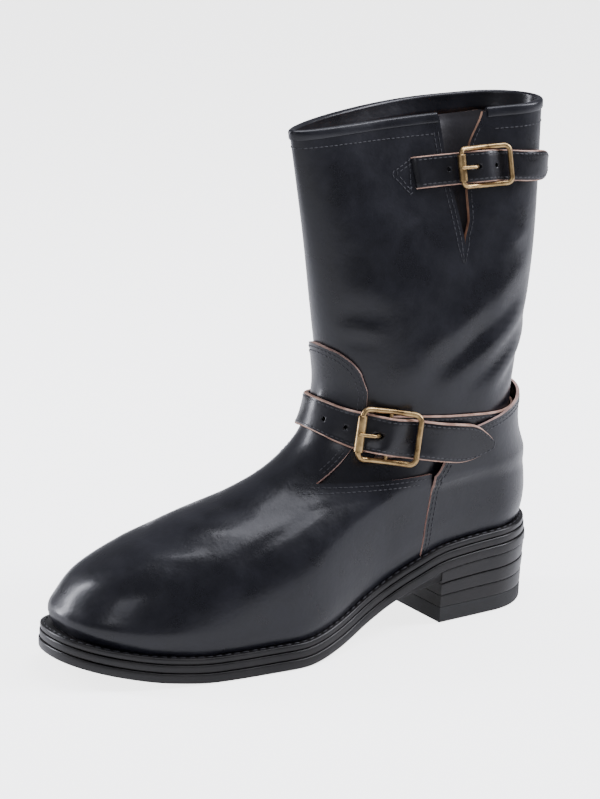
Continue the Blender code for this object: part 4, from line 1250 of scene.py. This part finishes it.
def vamp_lines(thread):
    """Two rows round the shield and along each wing."""
    lift = OVERLAY_GAP + OVERLAY + thread
    turn, level = shield_edge()
    lines = [line_on(*beside(turn, level, inset), lift) for inset in EDGE_ROWS]
    rear = side_seam(level_at(np.asarray(SLIT_TURN), lambda y: VAMP_WING_Z)) + SEAM_ROW_REACH
    run = np.linspace(0.5 - SHIELD_TURN - WING_ROW_OVERLAP, rear, 60)
    for inset in EDGE_ROWS:
        lines += [level_line(side, VAMP_WING_Z - inset, lift) for side in (run, 1 - run)]
    return lines


def counter_lines(thread):
    """Two rows below the counter's rim and down both of its front edges."""
    turn, level = counter_grid()
    edges = [(turn[-1], level[-1], 1)]
    edges += [(turn[4:-3, column], level[4:-3, column], way) for column, way in ((0, 1), (-1, -1))]
    lines = []
    for turn, level, way in edges:
        for inset in EDGE_ROWS:
            spot = beside(turn, level, way * inset)
            lift = read(COUNTER_LIFT, skin(*spot)[..., 2]) + OVERLAY + thread
            lines.append(line_on(*spot, lift))
    return lines


def strap_lines(row, inset, thread, last=1.0):
    """A row along each edge of a strap, meeting at its point."""
    share = strap_shares(row, 160)
    share = share[share <= last]
    lines = []
    for side in (-1, 1):
        turn, level = strap_places(row, share, side * (1 - inset / row["half"]))
        turn, level = turn[..., 0], level[..., 0]
        lines.append(line_on(turn, level, read(row["lift"], turn) + row["thickness"] + thread))
    if row["point"]:
        low, high = lines
        return [(np.concatenate((low[0][::-1], high[0])), np.concatenate((low[1][::-1], high[1])))]
    return lines


def cross_line(row, share, thread, reach=0.78):
    """Row across a strap, nearly from edge to edge."""
    turn, level = strap_places(row, np.array([share]), np.linspace(-reach, reach, 12))
    return line_on(turn[0], level[0], read(row["lift"], turn[0]) + row["thickness"] + thread)


def welt_line(inset, thread):
    """Row round the top of the welt."""
    ring = plan_ring(SOLE_PLAN, inset, lambda y: welt_top(y) + thread, 300)
    ring = np.concatenate((ring, ring[:1]))
    return ring, np.broadcast_to((0.0, 0.0, 1.0), ring.shape)


# Materials

# Bump of the leather: features to the metre, detail, roughness, share of the strength, distance
LEATHER_LAYERS = (
    (520.0, 2.0, 0.45, 0.45, 0.00022),
    (1300.0, 1.0, 0.55, 0.22, 0.00008),
    (62.0, 3.0, 0.55, 0.40, 0.0014),
)

# Sockets of the shader that a finish may set besides its colours
FINISH_SOCKETS = {
    "coat": "Coat Weight", "coat_rough": "Coat Roughness", "metal": "Metallic", "sheen": "Sheen Weight",
    "specular": "Specular IOR Level",
}


def shade_group(name):
    """Shared node group with a strength, which puts out a normal and a mottling mask."""
    tree = bpy.data.node_groups.new(name, "ShaderNodeTree")
    tree.interface.new_socket("Strength", in_out="INPUT", socket_type="NodeSocketFloat")
    tree.interface.new_socket("Normal", in_out="OUTPUT", socket_type="NodeSocketVector")
    tree.interface.new_socket("Mottle", in_out="OUTPUT", socket_type="NodeSocketFloat")
    given, result = tree.nodes.new("NodeGroupInput"), tree.nodes.new("NodeGroupOutput")
    place = tree.nodes.new("ShaderNodeTexCoord").outputs["Object"]
    return tree, given.outputs["Strength"], result, place


def noise(tree, place, scale, detail=3.0, rough=0.55):
    """Noise over the piece, in features to the metre."""
    node = tree.nodes.new("ShaderNodeTexNoise")
    for label, value in (("Scale", scale), ("Detail", detail), ("Roughness", rough)):
        node.inputs[label].default_value = value
    tree.links.new(place, node.inputs["Vector"])
    return node.outputs["Fac"]


def remap(tree, value, low, high, to_low, to_high):
    """Value moved from one range to another, and kept inside it."""
    node = tree.nodes.new("ShaderNodeMapRange")
    for label, limit in (("From Min", low), ("From Max", high), ("To Min", to_low), ("To Max", to_high)):
        node.inputs[label].default_value = limit
    tree.links.new(value, node.inputs["Value"])
    return node.outputs[0]


def times(tree, value, factor):
    """Value times a plain factor."""
    node = tree.nodes.new("ShaderNodeMath")
    node.operation = "MULTIPLY"
    tree.links.new(value, node.inputs[0])
    node.inputs[1].default_value = factor
    return node.outputs[0]


def bump(tree, height, strength, distance, before=None):
    """Normal from a height, over the normal before it; strength is a plain value or a socket."""
    node = tree.nodes.new("ShaderNodeBump")
    node.inputs["Distance"].default_value = distance
    tree.links.new(height, node.inputs["Height"])
    if isinstance(strength, float):
        node.inputs["Strength"].default_value = strength
    else:
        tree.links.new(strength, node.inputs["Strength"])
    if before is not None:
        tree.links.new(before, node.inputs["Normal"])
    return node.outputs[0]


def leather_group():
    """Soft pebbled grain, fine pores, long soft wrinkles and broad unevenness, each a layer of bump."""
    tree, strength, result, place = shade_group("leather_grain")
    normal = None
    for scale, detail, rough, share, distance in LEATHER_LAYERS:
        height = noise(tree, place, scale, detail, rough)
        normal = bump(tree, height, times(tree, strength, share), distance, normal)
    normal = bump(tree, noise(tree, place, 22.0, 2.0), 0.22, 0.0030, normal)
    tree.links.new(normal, result.inputs["Normal"])
    tree.links.new(noise(tree, place, 48.0, 5.0, 0.62), result.inputs["Mottle"])
    return tree


def fibre_group():
    """Short fibres of a cut edge, suede or lining, in two layers of bump."""
    tree, strength, result, place = shade_group("leather_fibre")
    nap = bump(tree, noise(tree, place, 1900.0, 4.0), strength, 0.00025)
    normal = bump(tree, noise(tree, place, 300.0, 4.0), strength, 0.00040, nap)
    tree.links.new(normal, result.inputs["Normal"])
    tree.links.new(noise(tree, place, 130.0, 6.0, 0.68), result.inputs["Mottle"])
    return tree


def finish_material(name, tree, dark, light, rough, strength, mask=(0.38, 0.62), **finish):
    """Principled finish between two colours and two roughnesses, led by the group's mottling."""
    material = bpy.data.materials.new(name)
    material.use_nodes = True
    nodes, links = material.node_tree.nodes, material.node_tree.links
    shader = nodes["Principled BSDF"]
    group = nodes.new("ShaderNodeGroup")
    group.node_tree = tree
    group.inputs["Strength"].default_value = strength
    share = remap(material.node_tree, group.outputs["Mottle"], mask[0], mask[1], 0.0, 1.0)
    mix = nodes.new("ShaderNodeMix")
    mix.data_type = "RGBA"
    mix.inputs["A"].default_value = (*dark, 1.0)
    mix.inputs["B"].default_value = (*light, 1.0)
    links.new(share, mix.inputs["Factor"])
    links.new(mix.outputs["Result"], shader.inputs["Base Color"])
    links.new(remap(material.node_tree, share, 0.0, 1.0, rough[0], rough[1]), shader.inputs["Roughness"])
    links.new(group.outputs["Normal"], shader.inputs["Normal"])
    for field, value in finish.items():
        shader.inputs[FINISH_SOCKETS[field]].default_value = value
    material.diffuse_color = (*dark, 1.0)
    return material


def floor_material():
    """Even white paper that the camera sees brighter than the leather does."""
    material = bpy.data.materials.new("pale_floor")
    material.use_nodes = True
    tree = material.node_tree
    shader = tree.nodes["Principled BSDF"]
    shader.inputs["Base Color"].default_value = (0.84, 0.84, 0.85, 1.0)
    shader.inputs["Roughness"].default_value = 0.95
    shader.inputs["Specular IOR Level"].default_value = 0.1
    shader.inputs["Emission Color"].default_value = (1.0, 1.0, 1.0, 1.0)
    seen = tree.nodes.new("ShaderNodeLightPath").outputs["Is Camera Ray"]
    tree.links.new(remap(tree, seen, 0.0, 1.0, *FLOOR_GLOW), shader.inputs["Emission Strength"])
    return material


def make_looks(colours):
    """All the boot's finishes by the name of the surface that wears them."""
    leather, fibre = leather_group(), fibre_group()
    cut, polish = (0.75, 0.9), {"coat": 0.10, "coat_rough": 0.12, "specular": 0.36}
    return {
        "shaft": finish_material("shaft_leather", leather, colours.shaft_dark, colours.shaft_light,
                                 (0.27, 0.36), 0.55, **polish),
        "strap": finish_material("strap_leather", leather, colours.strap_dark, colours.strap_light,
                                 (0.27, 0.38), 0.60, **polish),
        "sole_edge": finish_material("sole_edge", leather, (0.0070, 0.0065, 0.0065), (0.0140, 0.0125, 0.0120),
                                     (0.30, 0.44), 0.35, coat=0.08, coat_rough=0.15, specular=0.34),
        "raw_pink": finish_material("raw_edge_pink", fibre, (0.36, 0.22, 0.19), (0.62, 0.42, 0.35), cut, 0.5),
        "raw_tan": finish_material("raw_edge_tan", fibre, (0.33, 0.19, 0.14), (0.60, 0.39, 0.30), cut, 0.5),
        "raw_brown": finish_material("raw_edge_brown", fibre, (0.15, 0.075, 0.045), (0.34, 0.19, 0.12),
                                     cut, 0.5),
        "lining": finish_material("natural_lining", fibre, colours.lining_dark, colours.lining_light,
                                  (0.55, 0.68), 0.35),
        "gusset": finish_material("gusset_leather", leather, (0.012, 0.011, 0.014), (0.020, 0.018, 0.022),
                                  (0.42, 0.55), 0.6),
        "suede": finish_material("dark_suede", fibre, (0.030, 0.018, 0.016), (0.060, 0.036, 0.030),
                                 (0.85, 0.95), 0.8, sheen=0.35),
        "rubber": finish_material("black_rubber", fibre, (0.012, 0.012, 0.012), (0.020, 0.020, 0.020),
                                  (0.6, 0.7), 0.3),
        "brass": finish_material("aged_brass", fibre, colours.brass_dark, colours.brass_light,
                                 (0.22, 0.40), 0.16, (0.30, 0.62), metal=1.0),
        "thread": finish_material("black_thread", fibre, (0.014, 0.014, 0.018), (0.040, 0.040, 0.048),
                                  (0.45, 0.6), 0.4),
        "floor": floor_material(),
    }


# Stage


def add_area(name, place, target, size, power):
    """Soft rectangular light that faces the target."""
    light = bpy.data.lights.new(name, "AREA")
    light.shape = "RECTANGLE"
    light.size, light.size_y = size
    light.energy = power
    light.color = LIGHT_TINT
    lamp = bpy.data.objects.new(name, light)
    lamp.location = place
    lamp.rotation_euler = (target - place).to_track_quat("-Z", "Y").to_euler()
    bpy.context.scene.collection.objects.link(lamp)


def camera_axes(azimuth, elevation):
    """Right, up and towards the camera, which stands round the toe's outer side."""
    a, e = radians(azimuth), radians(elevation)
    back = Vector((sin(a) * cos(e), -cos(a) * cos(e), sin(e)))
    right = Vector((cos(a), sin(a), 0.0))
    return right, back.cross(right), back


def build_floor(look):
    """Pale floor that reaches out of the picture."""
    bpy.ops.mesh.primitive_circle_add(vertices=96, radius=FLOOR_RADIUS, fill_type="NGON",
                                      location=(0, 0, -FLOOR_DROP))
    floor = bpy.context.object
    floor.name = "floor"
    floor.data.materials.append(look)


def build_sky(strength):
    """Even light from all round."""
    world = bpy.data.worlds.new("studio")
    world.use_nodes = True
    world.node_tree.nodes["Background"].inputs[0].default_value = (*LIGHT_TINT, 1.0)
    world.node_tree.nodes["Background"].inputs[1].default_value = strength
    bpy.context.scene.world = world


def build_camera(settings, right, up, back):
    """Camera at the photograph's angle, far enough away to take in the whole boot."""
    lens = bpy.data.cameras.new("camera")
    lens.lens = settings.lens
    lens.sensor_fit = "VERTICAL"
    lens.sensor_height = SENSOR_HEIGHT
    distance = settings.height_in_view * settings.lens / SENSOR_HEIGHT
    camera = bpy.data.objects.new("camera", lens)
    stand = Matrix.Translation(Vector(settings.target) + back * distance)
    camera.matrix_world = stand @ Matrix((right, up, back)).transposed().to_4x4()
    bpy.context.scene.collection.objects.link(camera)
    bpy.context.scene.camera = camera


def build_stage(settings, looks):
    """Floor, even light, the camera and the lights that are placed from it."""
    build_floor(looks["floor"])
    build_sky(settings.sky)
    right, up, back = camera_axes(settings.azimuth, settings.elevation)
    build_camera(settings, right, up, back)
    level = Vector((back.x, back.y, 0.0)).normalized()
    base = Vector(LIGHT_TARGET)
    for name, (aside, nearer, rise, width, height) in LIGHTS.items():
        place = base + right * aside + level * nearer + Vector((0.0, 0.0, rise))
        add_area(name, place, base, (width, height), getattr(settings, name))


# Add-on


class BootStitching(bpy.types.PropertyGroup):
    step: FloatProperty(name="Step", description="Distance from stitch to stitch", default=0.0030,
                        subtype="DISTANCE", unit="LENGTH")
    length: FloatProperty(name="Length", description="Length of one stitch", default=0.0025,
                          subtype="DISTANCE", unit="LENGTH")
    thread: FloatProperty(name="Thread", description="Thickness of the thread", default=0.00062,
                          subtype="DISTANCE", unit="LENGTH")
    sunk: FloatProperty(name="Sunk", description="How high the middle of the thread lies over the leather",
                        default=0.00008, subtype="DISTANCE", unit="LENGTH")


class BootStage(bpy.types.PropertyGroup):
    azimuth: FloatProperty(name="Azimuth", description="Turn of the camera from the toe to the outer side",
                           default=58.0)
    elevation: FloatProperty(name="Elevation", description="Height of the camera over the horizon",
                             default=16.5)
    lens: FloatProperty(name="Lens", description="Focal length in millimetres on a 36 mm high sensor",
                        default=150.0)
    target: FloatVectorProperty(name="Target", description="Point in the middle of the picture", size=3,
                                default=(0.0, -0.1065, 0.1335), subtype="TRANSLATION")
    height_in_view: FloatProperty(name="Height in view", description="Height that fills the picture",
                                  default=0.440, subtype="DISTANCE", unit="LENGTH")
    sky: FloatProperty(name="Sky", description="Strength of the even light", default=0.30)
    key: FloatProperty(name="Key", description="Power of the light on the outer side", default=27.0)
    rim: FloatProperty(name="Rim", description="Power of the light along the front edge", default=18.0)
    fill: FloatProperty(name="Fill", description="Power of the light on the front", default=3.0)
    top: FloatProperty(name="Top", description="Power of the light from above", default=17.0)


class BootColours(bpy.types.PropertyGroup):
    shaft_dark: FloatVectorProperty(name="Shaft dark", description="Darker tone of the shaft's leather",
                                    default=(0.0050, 0.0052, 0.0080), subtype="COLOR", min=0, max=1)
    shaft_light: FloatVectorProperty(name="Shaft light", description="Lighter tone of the shaft's leather",
                                     default=(0.0085, 0.0088, 0.0130), subtype="COLOR", min=0, max=1)
    strap_dark: FloatVectorProperty(name="Strap dark", description="Darker tone of the straps' leather",
                                    default=(0.0050, 0.0050, 0.0070), subtype="COLOR", min=0, max=1)
    strap_light: FloatVectorProperty(name="Strap light", description="Lighter tone of the straps' leather",
                                     default=(0.0085, 0.0085, 0.0115), subtype="COLOR", min=0, max=1)
    lining_dark: FloatVectorProperty(name="Lining dark", description="Darker tone of the lining",
                                     default=(0.70, 0.40, 0.15), subtype="COLOR", min=0, max=1)
    lining_light: FloatVectorProperty(name="Lining light", description="Lighter tone of the lining",
                                      default=(0.84, 0.53, 0.23), subtype="COLOR", min=0, max=1)
    brass_dark: FloatVectorProperty(name="Brass dark", description="Tarnished tone of the buckles",
                                    default=(0.20, 0.120, 0.050), subtype="COLOR", min=0, max=1)
    brass_light: FloatVectorProperty(name="Brass light", description="Rubbed tone of the buckles",
                                     default=(0.55, 0.38, 0.18), subtype="COLOR", min=0, max=1)


class BootSettings(bpy.types.PropertyGroup):
    strap_columns: IntProperty(name="Strap columns", description="Cuts along each strap", default=170, min=20)
    colours: PointerProperty(type=BootColours)
    stitching: PointerProperty(type=BootStitching)
    stage: PointerProperty(type=BootStage)


LOOKS = {}


def looks():
    """Materials of the boot, made once."""
    if not LOOKS:
        LOOKS.update(make_looks(bpy.context.scene.boot.colours))
    return LOOKS


class BOOT_OT_sole(bpy.types.Operator):
    """Build the outsole, midsole, welt, heel and footbed"""
    bl_idname = "boot.sole"
    bl_label = "Sole Unit"

    def execute(self, context):
        edge = [looks()["sole_edge"]]
        build_layers(edge)
        build_welt(edge)
        build_insole([looks()["lining"]])
        build_heel(edge, [looks()["rubber"]])
        return {"FINISHED"}


class BOOT_OT_upper(bpy.types.Operator):
    """Build the shaft and everything laid over it"""
    bl_idname = "boot.upper"
    bl_label = "Upper"

    def execute(self, context):
        for build in (build_shaft, build_vamp, build_counter, build_back_stay, build_binding, build_gusset):
            build(looks())
        return {"FINISHED"}


class BOOT_OT_straps(bpy.types.Operator):
    """Build both straps with their buckles"""
    bl_idname = "boot.straps"
    bl_label = "Straps and Buckles"

    def execute(self, context):
        columns = context.scene.boot.strap_columns
        for prefix, row, buckle, sink in (("top", TOP_STRAP, TOP_BUCKLE, TOP_STRAP_SINK),
                                          ("instep", INSTEP_STRAP, INSTEP_BUCKLE, 0.0)):
            place = buckle_place(row, buckle)
            build_buckle(prefix, buckle, place, looks())
            build_strap(prefix + "_strap", row, columns, looks(), place, buckle, sink)
        build_strap("top_buckle_strap", TOP_ANCHOR, TOP_ANCHOR_COLUMNS, looks())
        build_strap("heel_strap", HEEL_STRAP, columns, looks())
        return {"FINISHED"}


class BOOT_OT_stitches(bpy.types.Operator):
    """Lay the rows of stitches on the finished leather"""
    bl_idname = "boot.stitches"
    bl_label = "Stitches"

    def execute(self, context):
        rows = context.scene.boot.stitching
        size = (rows.length, rows.thread, rows.thread)
        thread = looks()["thread"]
        straps = strap_lines(TOP_STRAP, TOP_STRAP_ROW, rows.sunk, TOP_ROW_END)
        straps += strap_lines(INSTEP_STRAP, STRAP_ROW, rows.sunk)
        straps += strap_lines(HEEL_STRAP, STRAP_ROW, rows.sunk)
        straps += [cross_line(INSTEP_STRAP, share, rows.sunk) for share in INSTEP_CROSS_ROWS]
        for part, lines, slot in (("shaft", shaft_lines(rows.sunk), "shaft_leather"),
                                  ("vamp", vamp_lines(rows.sunk), "shaft_leather"),
                                  ("counter", counter_lines(rows.sunk), "shaft_leather"),
                                  ("strap", straps, "strap_leather")):
            add_stitches(part + "_stitches", lines, rows.step, size, thread, slot)
        welt_size = (rows.length * 1.5, rows.thread * 1.5, rows.thread * 1.3)
        welt_row = [welt_line(WELT_ROW, WELT_THREAD_OVER)]
        add_stitches("welt_stitches", welt_row, rows.step * 1.7, welt_size, thread, "sole_edge")
        return {"FINISHED"}


class BOOT_OT_stage(bpy.types.Operator):
    """Set up the floor, the light and the camera"""
    bl_idname = "boot.stage"
    bl_label = "Stage"

    def execute(self, context):
        build_stage(context.scene.boot.stage, looks())
        return {"FINISHED"}


class BOOT_PT_panel(bpy.types.Panel):
    """Sidebar panel of the boot"""
    bl_idname = "BOOT_PT_panel"
    bl_label = "Engineer Boot"
    bl_space_type = "VIEW_3D"
    bl_region_type = "UI"
    bl_category = "Boot"

    def draw(self, context):
        settings = context.scene.boot
        self.layout.prop(settings, "strap_columns")
        for group in (settings.colours, settings.stitching, settings.stage):
            for name in type(group).__annotations__:
                self.layout.prop(group, name)
        for name in ("boot.sole", "boot.upper", "boot.straps", "boot.stitches", "boot.stage"):
            self.layout.operator(name)


CLASSES = (BootColours, BootStitching, BootStage, BootSettings, BOOT_OT_sole, BOOT_OT_upper, BOOT_OT_straps,
           BOOT_OT_stitches, BOOT_OT_stage, BOOT_PT_panel)


def register():
    for item in CLASSES:
        bpy.utils.register_class(item)
    bpy.types.Scene.boot = PointerProperty(type=BootSettings)


def unregister():
    del bpy.types.Scene.boot
    for item in reversed(CLASSES):
        bpy.utils.unregister_class(item)


def main():
    register()
    for build in (bpy.ops.boot.sole, bpy.ops.boot.upper, bpy.ops.boot.straps, bpy.ops.boot.stitches,
                  bpy.ops.boot.stage):
        build()


if __name__ == "__main__":
    main()
